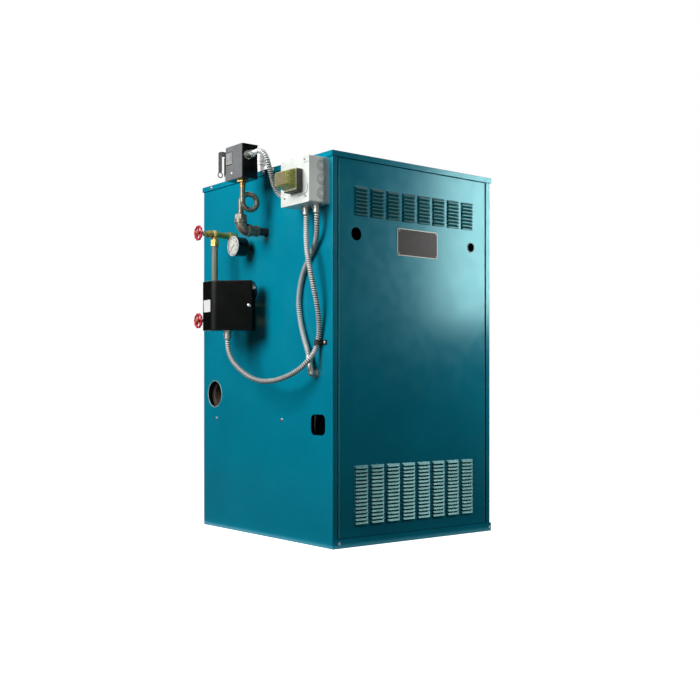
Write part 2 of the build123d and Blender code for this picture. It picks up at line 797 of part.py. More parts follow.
with BuildPart() as control_cover:
    with BuildSketch(out_of_jacket(control_face_x, control_mid_y, control_z0 + control_h / 2)):
        RectangleRounded(control_w, control_h, control_corner_r)
    extrude(amount=control_cover_t)
    fillet(control_cover.edges().group_by(Axis.X)[0], radius=control_cover_round)
save(control_cover.part, "control_cover")

# Low-water cutoff: moulded housing turned toward the front on a bent probe fitting
cutoff_back = Plane(origin=(cutoff_back_x, cutoff_back_y, cutoff_z), x_dir=cutoff_across, z_dir=cutoff_out)
with BuildPart() as cutoff_case:
    with BuildSketch(cutoff_back):
        Rectangle(cutoff_w, cutoff_h)
    extrude(amount=cutoff_d)
    chamfer(cutoff_case.edges().filter_by(Axis.Z).sort_by(Axis.X)[0], length=cutoff_chamfer)
    outward = Axis((0, 0, 0), cutoff_out)
    uprights = cutoff_case.faces().sort_by(outward)[-1].edges().filter_by(Axis.Z).sort_by(Axis.X)
    fillet(uprights[0], radius=cutoff_round_r)
    uprights = cutoff_case.faces().sort_by(outward)[-1].edges().filter_by(Axis.Z).sort_by(Axis.X)
    around = cutoff_case.faces().sort_by(Axis.Z)[-1].edges().sort_by(outward)[1:]
    around += cutoff_case.faces().sort_by(Axis.Z)[0].edges().sort_by(outward)[1:]
    fillet(around + uprights[-1:], radius=cutoff_edge_r)
save(cutoff_case.part, "cutoff_case")

# Probe fitting: threaded neck, bend and straight end that screws into the end section
with BuildPart() as probe_fitting:
    with BuildLine() as probe_path:
        FilletPolyline(cutoff_back.origin, probe_corner, (boss_face_x, probe_y, cutoff_z), radius=probe_bend_r)
    with BuildSketch(cutoff_back):
        Circle(probe_r)
    sweep()
    round_bar(cutoff_back, probe_collar_r, -probe_collar_w)
save(probe_fitting.part, "probe_fitting")


# Conduit connectors: die-cast, with a shoulder that lies on the box and a clamp for the conduit
def connector(plane):
    """Straight connector that stands on a plane."""
    with BuildPart() as fitting:
        round_bar(plane, connector_flange_r, connector_flange_t)
        round_bar(plane, connector_r, connector_len)
        outer_end = fitting.edges().filter_by(GeomType.CIRCLE).sort_by_distance(plane.origin)[-1]
        fillet(outer_end, radius=connector_round)
    return fitting.part


control_side_y = control_mid_y - control_w / 2
box_face_x = left_x - box_d
box_plus_y = box_y + box_w / 2
cutoff_bottom_z = cutoff_z - cutoff_h / 2
down = (0, 0, -1)
save(
    connector(Plane(origin=(limit_exit_x, control_side_y, limit_exit_z), x_dir=(1, 0, 0), z_dir=(0, -1, 0))),
    "control_connector",
)
save(
    connector(Plane(origin=(box_side_x, box_plus_y, box_side_z), x_dir=(1, 0, 0), z_dir=(0, 1, 0))),
    "box_side_connector",
)
save(
    connector(Plane(origin=(box_bottom_x, cutoff_drop_y, box_z0), x_dir=(1, 0, 0), z_dir=down)),
    "box_rear_drop_connector",
)
save(
    connector(Plane(origin=(box_bottom_x, valve_drop_y, box_z0), x_dir=(1, 0, 0), z_dir=down)),
    "box_front_drop_connector",
)
save(
    connector(Plane(origin=(cutoff_entry_x, cutoff_entry_y, cutoff_bottom_z), x_dir=(1, 0, 0), z_dir=down)),
    "cutoff_connector",
)

# Right-angle connector where the valve's conduit goes into the jacket: arm, bend, outlet and shoulder
with BuildPart() as elbow_connector:
    round_bar(Plane(origin=valve_route[-1], z_dir=elbow_arm), elbow_conn_r, elbow_conn_arm)
    outlet = out_of_jacket(*elbow_centre)
    with Locations(outlet):
        Sphere(elbow_conn_r)
    round_bar(outlet, elbow_conn_r, elbow_centre.X - left_x)
    round_bar(outlet, elbow_outlet_r, elbow_centre.X - left_x - elbow_outlet_reach)
    round_bar(out_of_jacket(left_x, elbow_outlet_y, elbow_outlet_z), elbow_shoulder_r, elbow_shoulder_t)
save(elbow_connector.part, "elbow_connector")

# Junction box: drawn steel box screwed to the jacket, with its cover
with BuildPart() as junction_box:
    with BuildSketch(out_of_jacket(left_x, box_y, box_z0 + box_h / 2)):
        RectangleRounded(box_w, box_h, box_corner_r)
    extrude(amount=box_d)
    with BuildSketch(out_of_jacket(left_x - box_sheet, box_y, box_z0 + box_h / 2)):
        RectangleRounded(box_w - 2 * box_sheet, box_h - 2 * box_sheet, box_corner_r - box_sheet)
    extrude(amount=box_d, mode=Mode.SUBTRACT)
save(junction_box.part, "junction_box")
with BuildPart() as junction_box_cover:
    with BuildSketch(out_of_jacket(box_face_x, box_y, box_z0 + box_h / 2)):
        RectangleRounded(box_w, box_h, box_corner_r)
    extrude(amount=box_cover_t)
save(junction_box_cover.part, "junction_box_cover")

# Transformer on the cover: a stack of laminations round a taped coil
core_face_x = box_face_x - box_cover_t
with BuildPart() as transformer_core:
    with BuildSketch(out_of_jacket(core_face_x, transformer_y, transformer_z)):
        Rectangle(core_w, core_h)
    extrude(amount=core_t)
save(transformer_core.part, "transformer_core")
with BuildPart() as transformer_coil:
    with BuildSketch(out_of_jacket(core_face_x - core_t, transformer_y, transformer_z)):
        RectangleRounded(coil_w, coil_h, coil_r)
    extrude(amount=coil_t)
    fillet(transformer_coil.edges().group_by(Axis.X)[0], radius=coil_round)
save(transformer_coil.part, "transformer_coil")

# Clip that holds the cutoff's conduit to the jacket: a strap bent round it, and a foot under the screw
clip_x = left_x - clip_bore_r - clip_t
with BuildPart() as conduit_clip:
    with BuildSketch(Plane(origin=(clip_x, clip_y, clip_z - clip_w / 2))):
        Circle(clip_bore_r + clip_t)
        with Locations(((clip_bore_r + clip_t) / 2, 0)):
            Rectangle(clip_bore_r + clip_t, 2 * (clip_bore_r + clip_t))
        Circle(clip_bore_r, mode=Mode.SUBTRACT)
        with Locations((clip_bore_r / 2, 0)):
            Rectangle(clip_bore_r, 2 * clip_bore_r, mode=Mode.SUBTRACT)
        with Locations((clip_bore_r + clip_t / 2, -clip_foot / 2)):
            Rectangle(clip_t, clip_foot)
    extrude(amount=clip_w)
save(conduit_clip.part, "conduit_clip")

# Safety valve on its short pipe, with two ears on its bonnet that carry the lever's pin
valve_foot_z = sections_z1 + top_boss_h
valve_seat_z = boiler_h + valve_neck_h
ear_y = lever_w / 2 + lever_gap
with BuildPart() as safety_valve:
    round_bar(Plane(origin=(valve_x, valve_y, valve_foot_z)), valve_neck_r, valve_seat_z - valve_foot_z)
    hex_bar(Plane(origin=(valve_x, valve_y, valve_seat_z - valve_hex_h)), valve_hex_af, valve_hex_h)
    round_bar(Plane(origin=(valve_x, valve_y, valve_seat_z)), valve_body_r, valve_top_z - valve_seat_z)
    chamfer(safety_valve.faces().sort_by(Axis.Z)[-1].edges(), length=valve_bevel)
    for side in (-1, 1):
        with Locations((valve_x, valve_y + side * (ear_y + valve_ear_t / 2), (valve_top_z + valve_ear_z1) / 2)):
            Box(valve_ear_w, valve_ear_t, valve_ear_z1 - valve_top_z)
    round_bar(
        Plane(origin=(valve_x, valve_y - ear_y - valve_ear_t, lever_pivot_z), z_dir=(0, 1, 0)),
        lever_pin_r,
        2 * (ear_y + valve_ear_t),
    )
save(safety_valve.part, "safety_valve")

# Lever that lifts the valve by hand: a strap on the pin, bent down beside the body, with a ring to pull
with BuildPart() as safety_lever:
    lever_side = (valve_x, valve_y - lever_w / 2, lever_pivot_z)
    with BuildSketch(Plane(origin=lever_side, x_dir=(1, 0, 0), z_dir=(0, -1, 0))):
        Circle(lever_eye_r)
        with Locations((-lever_len / 2, 0)):
            Rectangle(lever_len, lever_t)
        with Locations((-lever_len, -lever_drop / 2)):
            Rectangle(lever_t, lever_drop + lever_t)
        with Locations((-lever_len, -lever_drop - lever_ring_r)):
            Circle(lever_ring_r)
            Circle(lever_ring_r - lever_t, mode=Mode.SUBTRACT)
        Circle(lever_pin_r + spindle_clearance, mode=Mode.SUBTRACT)
    extrude(amount=-lever_w)
save(safety_lever.part, "safety_lever")

# Skimming tapping: short pipe through the cap with a malleable cap screwed on
with BuildPart() as skim_nipple:
    round_bar(Plane(origin=(skim_x, skim_y, valve_foot_z)), skim_pipe_r, skim_cap_z0 - valve_foot_z)
    round_bar(Plane(origin=(skim_x, skim_y, skim_cap_z0 - skim_collar_h)), skim_collar_r, skim_collar_h)
save(skim_nipple.part, "skim_nipple")
with BuildPart() as skim_cap:
    round_bar(Plane(origin=(skim_x, skim_y, skim_cap_z0)), skim_cap_r, skim_cap_h)
    fillet(skim_cap.edges().group_by(Axis.Z)[-1], radius=skim_cap_round)
save(skim_cap.part, "skim_cap")

# Conduits: flexible steel, from connector to connector
for label, route in [
    ("limit_conduit", limit_route),
    ("cutoff_conduit", cutoff_route),
    ("valve_conduit", valve_route),
]:
    print(label, "radii", [round(r) for r in corner_radii(route, conduit_share)])
    save(swept_tube(route, conduit_r, conduit_share), label)
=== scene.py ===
import math

import bmesh
import bpy
from mathutils import Matrix, Vector


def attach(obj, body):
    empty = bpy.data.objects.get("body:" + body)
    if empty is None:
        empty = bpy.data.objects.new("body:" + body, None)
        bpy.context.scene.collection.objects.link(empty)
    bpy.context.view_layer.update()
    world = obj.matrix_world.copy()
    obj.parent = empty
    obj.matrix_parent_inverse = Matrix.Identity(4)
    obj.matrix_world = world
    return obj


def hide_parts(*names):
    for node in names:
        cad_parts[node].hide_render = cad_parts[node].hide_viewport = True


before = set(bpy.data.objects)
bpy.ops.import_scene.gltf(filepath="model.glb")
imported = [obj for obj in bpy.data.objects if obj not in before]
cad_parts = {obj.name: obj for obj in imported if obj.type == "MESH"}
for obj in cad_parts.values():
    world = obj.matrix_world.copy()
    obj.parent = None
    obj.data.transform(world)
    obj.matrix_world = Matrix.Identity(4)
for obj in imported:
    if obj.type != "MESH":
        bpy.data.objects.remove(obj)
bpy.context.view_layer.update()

# Jacket and door
# Folded panels of cold-rolled sheet steel, 1.2 mm thick, hung on the castings. They are sprayed and
# baked in teal enamel, which leaves a hard, glossy skin with a faint orange peel.


def linear(colour):
    """Linear value of an sRGB hex colour."""
    parts = [int(colour[n:n + 2], 16) / 255 for n in (1, 3, 5)]
    return [c / 12.92 if c <= 0.04045 else ((c + 0.055) / 1.055) ** 2.4 for c in parts] + [1.0]


def node(tree, kind, inputs=None, **settings):
    """Adds a node with its settings, and gives each input a value or a link."""
    made = tree.nodes.new(kind)
    for name, value in settings.items():
        setattr(made, name, value)
    for socket, value in (inputs or {}).items():
        if isinstance(value, bpy.types.NodeSocket):
            tree.links.new(value, made.inputs[socket])
        else:
            made.inputs[socket].default_value = value
    return made


def finish(name, values):
    """Starts a finish, whose even values go straight on the shader."""
    material = bpy.data.materials.new(name)
    material.use_nodes = True
    shader = material.node_tree.nodes["Principled BSDF"]
    for socket, value in values.items():
        shader.inputs[socket].default_value = value
    return material, material.node_tree, shader


def clouds(tree, size, low, high, detail=3.0, stretch=(1, 1, 1)):
    """Cloudy pattern from low to high, with patches of a size in millimetres."""
    place = node(tree, "ShaderNodeTexCoord").outputs["Object"]
    place = node(tree, "ShaderNodeMapping", {"Vector": place, "Scale": stretch}).outputs[0]
    noise = node(tree, "ShaderNodeTexNoise", {"Vector": place, "Scale": 1000 / size, "Detail": detail})
    spread = {"Value": noise.outputs[0], "From Min": 0.32, "From Max": 0.68, "To Min": low, "To Max": high}
    return node(tree, "ShaderNodeMapRange", spread).outputs[0]


def colour_between(tree, shader, amount, first, second):
    """Lets the base colour run between two hex colours."""
    mixed = node(tree, "ShaderNodeMix", {0: amount, 6: linear(first), 7: linear(second)}, data_type="RGBA")
    tree.links.new(mixed.outputs[2], shader.inputs["Base Color"])


def relief(tree, shader, height, depth):
    """Raises the surface by a pattern, to a depth in millimetres."""
    bump = node(tree, "ShaderNodeBump", {"Height": height, "Distance": depth / 1000})
    tree.links.new(bump.outputs[0], shader.inputs["Normal"])


def wear(material, *names):
    """Gives CAD pieces their finish."""
    for name in names:
        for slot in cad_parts[name].material_slots:
            slot.material = material


enamel_skin = {"IOR": 1.5, "Specular IOR Level": 0.7, "Specular Tint": linear("#8CD4D2")}
enamel_dark, enamel_light = "#007E97", "#0086A0"

# Baked enamel: even colour, a tight gleam tinted by the paint, and a peel of 3 mm in the gleam only
enamel, tree, shader = finish("teal_baked_enamel", enamel_skin)
colour_between(tree, shader, clouds(tree, 160, 0, 1), enamel_dark, enamel_light)
tree.links.new(clouds(tree, 35, 0.21, 0.27), shader.inputs["Roughness"])
relief(tree, shader, clouds(tree, 3.0, 0, 1, 1.0), 0.012)
wear(enamel, "left_side_panel", "right_side_panel", "rear_panel", "top_panel", "base_front_rail")

# The same enamel on the door, with light and shade painted into its colour: the hoods that stand
# proud of the sheet are painted dark as shade, and their cut lips and the door's two upright folds
# are painted pale as highlights. The painted highlight on the lips fades out higher up.
hood_painted_shade = linear("#004A50")
painted_highlight = linear("#6FC3C4")
hood_from, hood_to = -0.3071, -0.3083
lip_from, lip_to = -0.3102, -0.311
highlight_gone_above, highlight_full_below, least_highlight = 0.5, 0.25, 0.1
fold_from, fold_to = 0.2545, 0.2555
door_enamel, tree, shader = finish("teal_enamel_with_painted_shade_and_highlights", enamel_skin)
place = node(tree, "ShaderNodeSeparateXYZ", {0: node(tree, "ShaderNodeTexCoord").outputs["Object"]})
aside, depth, height = place.outputs
proud = node(tree, "ShaderNodeMapRange", {"Value": depth, "From Min": hood_from, "From Max": hood_to})
lip = node(tree, "ShaderNodeMapRange", {"Value": depth, "From Min": lip_from, "From Max": lip_to})
# The lips' painted highlight is full below 0.25 m, and a tenth of it is left above 0.5 m
low = node(tree, "ShaderNodeMapRange", {
    "Value": height, "From Min": highlight_gone_above, "From Max": highlight_full_below, "To Min": least_highlight,
})
lip = node(tree, "ShaderNodeMath", {0: lip.outputs[0], 1: low.outputs[0]}, operation="MULTIPLY")
aside = node(tree, "ShaderNodeMath", {0: aside}, operation="ABSOLUTE").outputs[0]
fold = node(tree, "ShaderNodeMapRange", {"Value": aside, "From Min": fold_from, "From Max": fold_to})
pale = node(tree, "ShaderNodeMath", {0: lip.outputs[0], 1: fold.outputs[0]}, operation="MAXIMUM")
colour = node(tree, "ShaderNodeMix", {
    0: clouds(tree, 160, 0, 1), 6: linear(enamel_dark), 7: linear(enamel_light),
}, data_type="RGBA")
# Painted shade over the hoods, then painted highlight over the lips and folds
for amount, tone in ((proud, hood_painted_shade), (pale, painted_highlight)):
    colour = node(tree, "ShaderNodeMix", {
        0: amount.outputs[0], 6: colour.outputs[2], 7: tone,
    }, data_type="RGBA")
tree.links.new(colour.outputs[2], shader.inputs["Base Color"])
tree.links.new(clouds(tree, 35, 0.21, 0.27), shader.inputs["Roughness"])
relief(tree, shader, clouds(tree, 3.0, 0, 1, 1.0), 0.012)
wear(door_enamel, "front_door")

# Screws of the jacket
# Zinc-plated sheet-metal screws with hexagon washer heads. They pull the cap, the sides, the back
# and the front rail on to the folds behind them.
screw_flats = 6.4
screw_head = 3.2
screw_washer_r = 4.9
cap_side_x = 279.5
screwed_side_x = 276.0
rail_y = -308.0
back_y = 307.3


def skin(shape, rings, closed=False):
    """Faces from each ring of points to the next, with both ends capped unless the rings close up."""
    following = rings[1:] + rings[:1] if closed else rings[1:]
    for lower, upper in zip(rings, following):
        for n in range(len(lower)):
            after = (n + 1) % len(lower)
            shape.faces.new((lower[n], lower[after], upper[after], upper[n]))
    if not closed:
        shape.faces.new(reversed(rings[0]))
        shape.faces.new(rings[-1])


def turned(shape, profile, sides=24, place=Matrix()):
    """Turns a profile of radii and heights into a closed solid about a place's Z axis."""
    rings = []
    for radius, height in profile:
        turns = [2 * math.pi * (n + 0.5) / sides for n in range(sides)]
        points = [place @ Vector((radius * math.cos(t), radius * math.sin(t), height)) for t in turns]
        rings.append([shape.verts.new(point) for point in points])
    skin(shape, rings)


def drawn(shape, name):
    """Keeps a shape drawn in millimetres as a mesh to be set in places."""
    mesh = bpy.data.meshes.new(name)
    shape.to_mesh(mesh)
    shape.free()
    return mesh


def facing(direction, x, y, z, turn=0):
    """Place, in millimetres, whose Z axis looks along a direction."""
    look = Vector(direction).to_track_quat("Z", "Y").to_matrix().to_4x4()
    move = Matrix.Translation(Vector((x, y, z)) / 1000)
    return move @ look @ Matrix.Rotation(math.radians(turn), 4, "Z") @ Matrix.Scale(0.001, 4)


def fitted(name, copies, material, body="boiler", crease=35):
    """One piece made of meshes set in their places, which rides on a body."""
    shape = bmesh.new()
    for mesh, place in copies:
        copy = mesh.copy()
        copy.transform(place)
        shape.from_mesh(copy)
        bpy.data.meshes.remove(copy)
    bmesh.ops.recalc_face_normals(shape, faces=shape.faces)
    mesh = drawn(shape, name)
    for face in mesh.polygons:
        face.use_smooth = True
    mesh.set_sharp_from_angle(angle=math.radians(crease))
    mesh.materials.append(material)
    thing = bpy.data.objects.new(name, mesh)
    bpy.context.scene.collection.objects.link(thing)
    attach(thing, body)
    return thing


# Zinc plate: bright, a little cloudy, with soft gleams
zinc, tree, shader = finish("zinc_plated_steel", {"Metallic": 1.0})
colour_between(tree, shader, clouds(tree, 4, 0, 1), "#B9BDBE", "#DADCDA")
tree.links.new(clouds(tree, 2, 0.28, 0.42), shader.inputs["Roughness"])

shape = bmesh.new()
turned(shape, [(screw_washer_r, 0), (screw_washer_r, 0.4), (screw_washer_r - 0.5, 0.8)])
corner_r = screw_flats / math.sqrt(3)
turned(shape, [(corner_r, 0.3), (corner_r, screw_head - 0.5), (corner_r - 0.6, screw_head)], sides=6)
jacket_screw = drawn(shape, "jacket_screw")
left_out = (-1, 0, 0)
right_out = (1, 0, 0)
front_out = (0, -1, 0)
back_out = (0, 1, 0)
up = (0, 0, 1)
places = [facing(left_out, -cap_side_x, y, 972.5, y) for y in (261, -9, -53)]
places += [facing(right_out, screwed_side_x, y, 955, y) for y in (261, -9)]
low_screws = ((237, 311), (-88, 313))
places += [facing(left_out, -screwed_side_x, y, z, z) for y, z in low_screws]
places += [facing(right_out, screwed_side_x, y, z, z) for y, z in low_screws]
places += [facing(front_out, x, rail_y, z, 20) for x, z in ((-256.7, 13), (272, 11))]
places += [facing(back_out, x, back_y, z, z) for x in (-262, 262) for z in (40, 340, 640, 930)]
fitted("jacket_screws", [(jacket_screw, place) for place in places], zinc)

# Nameplate
# Thin aluminium plate on the door, printed dark all over inside a bright bare edge, held by four
# drive pins. It is left blank.
plate_w = 142.0
plate_h = 71.0
plate_t = 0.8
plate_corner_r = 6.0
plate_edge = 2.4
pin_inset = 7.0
print_over = 0.15


def rounded(width, height, corner_r, steps=6):
    """Outline of a rectangle with rounded corners."""
    outline = []
    for quarter, (side_x, side_y) in enumerate(((1, 1), (-1, 1), (-1, -1), (1, -1))):
        for step in range(steps + 1):
            turn = math.pi / 2 * (quarter + step / steps)
            outline.append((side_x * (width / 2 - corner_r) + corner_r * math.cos(turn),
                            side_y * (height / 2 - corner_r) + corner_r * math.sin(turn)))
    return outline


def layered(shape, layers):
    """Closed solid through outlines of equal length, each given with its height."""
    skin(shape, [[shape.verts.new((x, y, height)) for x, y in outline] for outline, height in layers])


def slab(name, width, height, thick, corner_r, bevel, foot=0.0):
    """Mesh of a plate with rounded corners and a bevelled face."""
    shape = bmesh.new()
    layered(shape, [
        (rounded(width, height, corner_r), foot),
        (rounded(width, height, corner_r), thick - bevel),
        (rounded(width - 2 * bevel, height - 2 * bevel, corner_r - bevel), thick),
    ])
    return drawn(shape, name)


# Rolled aluminium: dull grey with fine lines along the plate
bare_aluminium, tree, shader = finish("bright_rolled_aluminium", {"Metallic": 0.8, "Roughness": 0.5})
colour_between(tree, shader, clouds(tree, 6, 0, 1, 4.0, (1, 1, 14)), "#7D807C", "#979A95")
relief(tree, shader, clouds(tree, 2.5, 0, 1, 3.0, (1, 1, 14)), 0.02)
# Baked print: nearly black, warm, with a weak gleam
printed, tree, shader = finish("dark_baked_print", {"IOR": 1.5, "Specular IOR Level": 0.2, "Roughness": 0.4})
colour_between(tree, shader, clouds(tree, 40, 0, 1), "#191310", "#2A211C")
relief(tree, shader, clouds(tree, 1.5, 0, 1), 0.008)

shape = bmesh.new()
turned(shape, [(2.2, 0), (2.1, 0.6), (1.6, 1.1), (0.7, 1.4)], sides=16)
drive_pin = drawn(shape, "drive_pin")
on_door = facing(front_out, 5, -307, 774)
blank = slab("blank", plate_w, plate_h, plate_t, plate_corner_r, 0.25)
copies = [(blank, on_door)]
for x in (-1, 1):
    for y in (-1, 1):
        corner = Vector((x * (plate_w / 2 - pin_inset), y * (plate_h / 2 - pin_inset), plate_t))
        copies.append((drive_pin, on_door @ Matrix.Translation(corner)))
fitted("nameplate_edge", copies, bare_aluminium)
face_w = plate_w - 2 * plate_edge
face_h = plate_h - 2 * plate_edge
face = slab("face", face_w, face_h, plate_t + print_over, plate_corner_r - 1.5, 0.1, 0.2)
fitted("nameplate_face", [(face, on_door)], printed)

# Castings, base and flue collar
# Grey iron sections as they come from the sand, drawn together on a combustion base of galvanised
# sheet that stands in a folded pan. The flue collar is rolled from the same sheet and spot-welded.
# Iron as cast: brown with dust and rust, coarse and without gleam
iron, tree, shader = finish("rough_grey_cast_iron", {"IOR": 1.5, "Metallic": 0.0})
colour_between(tree, shader, clouds(tree, 25, 0, 1, 6.0), "#3B332C", "#5E5044")
tree.links.new(clouds(tree, 6, 0.6, 0.85), shader.inputs["Roughness"])
relief(tree, shader, clouds(tree, 2.2, 0, 1, 4.0), 0.5)
wear(iron, "boiler_sections")

# Galvanised sheet: grains of zinc 11 mm across, each with its own grey and gleam
galvanised, tree, shader = finish("galvanised_sheet", {"Metallic": 1.0})
place = node(tree, "ShaderNodeTexCoord").outputs["Object"]
spangle = node(tree, "ShaderNodeTexVoronoi", {"Vector": place, "Scale": 1000 / 11}).outputs["Color"]
spangle = node(tree, "ShaderNodeSeparateColor", {"Color": spangle}).outputs[0]
colour_between(tree, shader, spangle, "#9BA1A2", "#C2C7C6")
gleam = node(tree, "ShaderNodeMapRange", {"Value": spangle, "To Min": 0.34, "To Max": 0.52})
tree.links.new(gleam.outputs[0], shader.inputs["Roughness"])
wear(galvanised, "base_pan", "combustion_base", "flue_collar")

# Gauge glass and its cocks
# Turned and tapped brass cocks, a little tarnished, screwed into the end section. They hold a glass
# tube, filmed with scale inside, with a strip of pale enamel fired on its back to show the water line.
glass_bore_r = 6.2
strip_depth = 0.5
strip_len = 206.0
gauge_y = 134
upper_cock_z = 817
lower_cock_z = 579

# Turned brass: yellow, fairly bright, with faint tool marks
brass, tree, shader = finish("turned_yellow_brass", {"Metallic": 0.75})
colour_between(tree, shader, clouds(tree, 14, 0, 1, 2.0), "#B8974A", "#E0CB83")
tree.links.new(clouds(tree, 6, 0.26, 0.4), shader.inputs["Roughness"])
relief(tree, shader, clouds(tree, 0.9, 0, 1), 0.03)
wear(brass, "upper_gauge_cock", "lower_gauge_cock", "probe_fitting")
# Tarnished brass: brown, with bright yellow left in patches
tarnished, tree, shader = finish("tarnished_brass", {"Metallic": 0.7})
colour_between(tree, shader, clouds(tree, 9, 0, 1, 4.0), "#6E5730", "#A68C54")
tree.links.new(clouds(tree, 4, 0.3, 0.45), shader.inputs["Roughness"])
wear(tarnished, "control_neck")

# Filmed glass: dull green grey that lets little light through, with a sharp gleam
glass, tree, shader = finish("filmed_borosilicate_glass", {"IOR": 1.47, "Transmission Weight": 0.3})
colour_between(tree, shader, clouds(tree, 60, 0, 1, 1.0, (1, 1, 0.3)), "#8A8B77", "#A3A491")
tree.links.new(clouds(tree, 40, 0.06, 0.12), shader.inputs["Roughness"])
wear(glass, "gauge_glass")

# Fired enamel: pale strip without gleam, seen through the glass
fired_enamel, tree, shader = finish("fired_enamel_strip", {"IOR": 1.5, "Roughness": 0.4})
colour_between(tree, shader, clouds(tree, 18, 0, 1), "#7E7A6A", "#9A9684")
shape = bmesh.new()
arc = [math.radians(-75 + 15 * n) for n in range(11)]
outline = [((glass_bore_r - 0.05) * math.cos(t), (glass_bore_r - 0.05) * math.sin(t)) for t in arc]
inner_r = glass_bore_r - strip_depth
outline += [(inner_r * math.cos(t), inner_r * math.sin(t)) for t in reversed(arc)]
layered(shape, [(outline, 0), (outline, strip_len)])
strip = drawn(shape, "strip")
fitted("gauge_glass_strip", [(strip, facing(up, -344, gauge_y, 595))], fired_enamel)

# Handwheels
# Cast-iron wheels dipped in red enamel. The rim has ten lobes for the fingers, and five round spokes
# run to a hub that is held on the zinc-plated spindle by a small brass nut.
wheel_x = -396
wheel_r = 21.5
rim_r = 3.1
rim_lobe = 0.9
rim_steps = 120
rim_sides = 12
lobes = 10
spokes = 5

# Dipped enamel: bright red that pools lighter and darker, with a lumpy gleam
red, tree, shader = finish("red_dipped_enamel", {"IOR": 1.5})
colour_between(tree, shader, clouds(tree, 9, 0, 1), "#B01A2C", "#D23A4C")
tree.links.new(clouds(tree, 5, 0.25, 0.4), shader.inputs["Roughness"])
relief(tree, shader, clouds(tree, 2.5, 0, 1), 0.08)


def tube(shape, points, radii, sides):
    """Bar along points, whose radii give the radius at a point's number and a turn about it."""
    rings = []
    side = Vector((0.31, 0.43, 0.85))
    for n, point in enumerate(points):
        after = points[min(n + 1, len(points) - 1)]
        before = points[max(n - 1, 0)]
        along = (after - before).normalized()
        side = (side - along * side.dot(along)).normalized()
        other = along.cross(side)
        ring = []
        for corner in range(sides):
            turn = 2 * math.pi * corner / sides
            spoke = side * math.cos(turn) + other * math.sin(turn)
            ring.append(shape.verts.new(point + spoke * radii(n, turn)))
        rings.append(ring)
    skin(shape, rings)


def bent_round(shape, reach, wire_r, steps, sides):
    """Closed ring of round bar, whose reach gives the distance of its middle at a turn."""
    rings = []
    for n in range(steps):
        turn = 2 * math.pi * n / steps
        out = Vector((math.cos(turn), math.sin(turn), 0))
        ring = []
        for corner in range(sides):
            angle = 2 * math.pi * corner / sides
            rise = Vector((0, 0, wire_r * math.sin(angle)))
            ring.append(shape.verts.new(out * (reach(turn) + wire_r * math.cos(angle)) + rise))
        rings.append(ring)
    skin(shape, rings, closed=True)


rim_middle = wheel_r - rim_r - rim_lobe
shape = bmesh.new()
bent_round(shape, lambda turn: rim_middle + rim_lobe * math.cos(lobes * turn), rim_r, rim_steps, rim_sides)
for n in range(spokes):
    turn = math.radians(90 + 360 / spokes * n)
    along = Vector((math.cos(turn), math.sin(turn), 0))
    points = [along * reach for reach in (3, 6, 10, 14, rim_middle)]
    thick = (3.2, 2.9, 2.5, 2.5, 3.1)
    tube(shape, points, lambda n, turn: thick[n], 12)
turned(shape, [(5.6, -5), (6.2, -4), (6.2, 4), (5.6, 5)])
wheel = drawn(shape, "wheel")
shape = bmesh.new()
turned(shape, [(3.5, -30.6), (3.5, -3)], sides=20)
spindle = drawn(shape, "spindle")
shape = bmesh.new()
turned(shape, [(4.2, 4.6), (4.2, 7.0), (3.5, 7.8)], sides=6)
wheel_nut = drawn(shape, "wheel_nut")
for name, body, height in (
    ("upper_handwheel", "upper_wheel", upper_cock_z), ("lower_handwheel", "lower_wheel", lower_cock_z),
):
    on_cock = facing(left_out, wheel_x, gauge_y, height)
    piece = fitted(name + "_cast", [(wheel, on_cock)], red, body)
    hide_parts(name)
    fitted(name + "_nut", [(wheel_nut, on_cock)], brass, body)
    fitted(name + "_spindle", [(spindle, on_cock)], zinc, body)

# Pressure gauge
# Drawn steel case in black lacquer with a pressed white bezel. A printed white card lies behind flat
# glass, with a black pointer on a brass arbor.
dial_r = 24.0
sweep_from = 225.0
sweep_deg = 270.0
dial_steps = 30
steps_a_number = 5
number_reach = 14.6
number_size = 5.0
bezel_sides = 64

# Gloss lacquer: deep black with a sharp but weak gleam
lacquer, tree, shader = finish("black_gloss_lacquer", {"IOR": 1.5, "Specular IOR Level": 0.3})
colour_between(tree, shader, clouds(tree, 40, 0, 1, 1.0), "#08090A", "#101212")
tree.links.new(clouds(tree, 30, 0.2, 0.26, 1.0), shader.inputs["Roughness"])
wear(lacquer, "gauge_case")
shape = bmesh.new()
bezel_line = [(24.4, 1.6), (24.9, 2.7), (26.2, 2.9), (27.1, 2.0), (27.1, 0.6), (26.0, 0.4)]
rings = []
for n in range(bezel_sides):
    turn = 2 * math.pi * n / bezel_sides
    rings.append([shape.verts.new((r * math.cos(turn), r * math.sin(turn), h)) for r, h in bezel_line])
skin(shape, rings, closed=True)
bezel_ring = drawn(shape, "bezel_ring")
# Printed card: warm white without gleam
card, tree, shader = finish("printed_white_card", {"IOR": 1.45, "Roughness": 0.6})
colour_between(tree, shader, clouds(tree, 8, 0, 1), "#E4E3DC", "#F0EFEA")
wear(card, "gauge_dial")
# Printing ink: flat black, also used as painted shade in the box's keyhole slots
print_and_painted_shade, tree, shader = finish("black_print_and_painted_shade", {"IOR": 1.5, "Roughness": 0.5})
colour_between(tree, shader, clouds(tree, 1, 0, 1), "#0F0F10", "#1D1D1E")


def ray(angle, inner, outer, width, name):
    """Thin bar on the dial between two radii."""
    mesh = slab(name, width, outer - inner, 0.12, 0.1 * width, 0.02)
    turn = Matrix.Rotation(math.radians(angle - 90), 4, "Z")
    return mesh, turn @ Matrix.Translation((0, (inner + outer) / 2, 0))


def figure(text, size):
    """Flat mesh of a number, in millimetres, centred on the origin."""
    words = bpy.data.curves.new("figure", "FONT")
    words.body = text
    words.size = size
    words.align_x = "CENTER"
    words.align_y = "CENTER"
    words.extrude = 0.04
    return bpy.data.meshes.new_from_object(bpy.data.objects.new("figure", words))


on_dial = facing(left_out, -330.5, 60, 779)
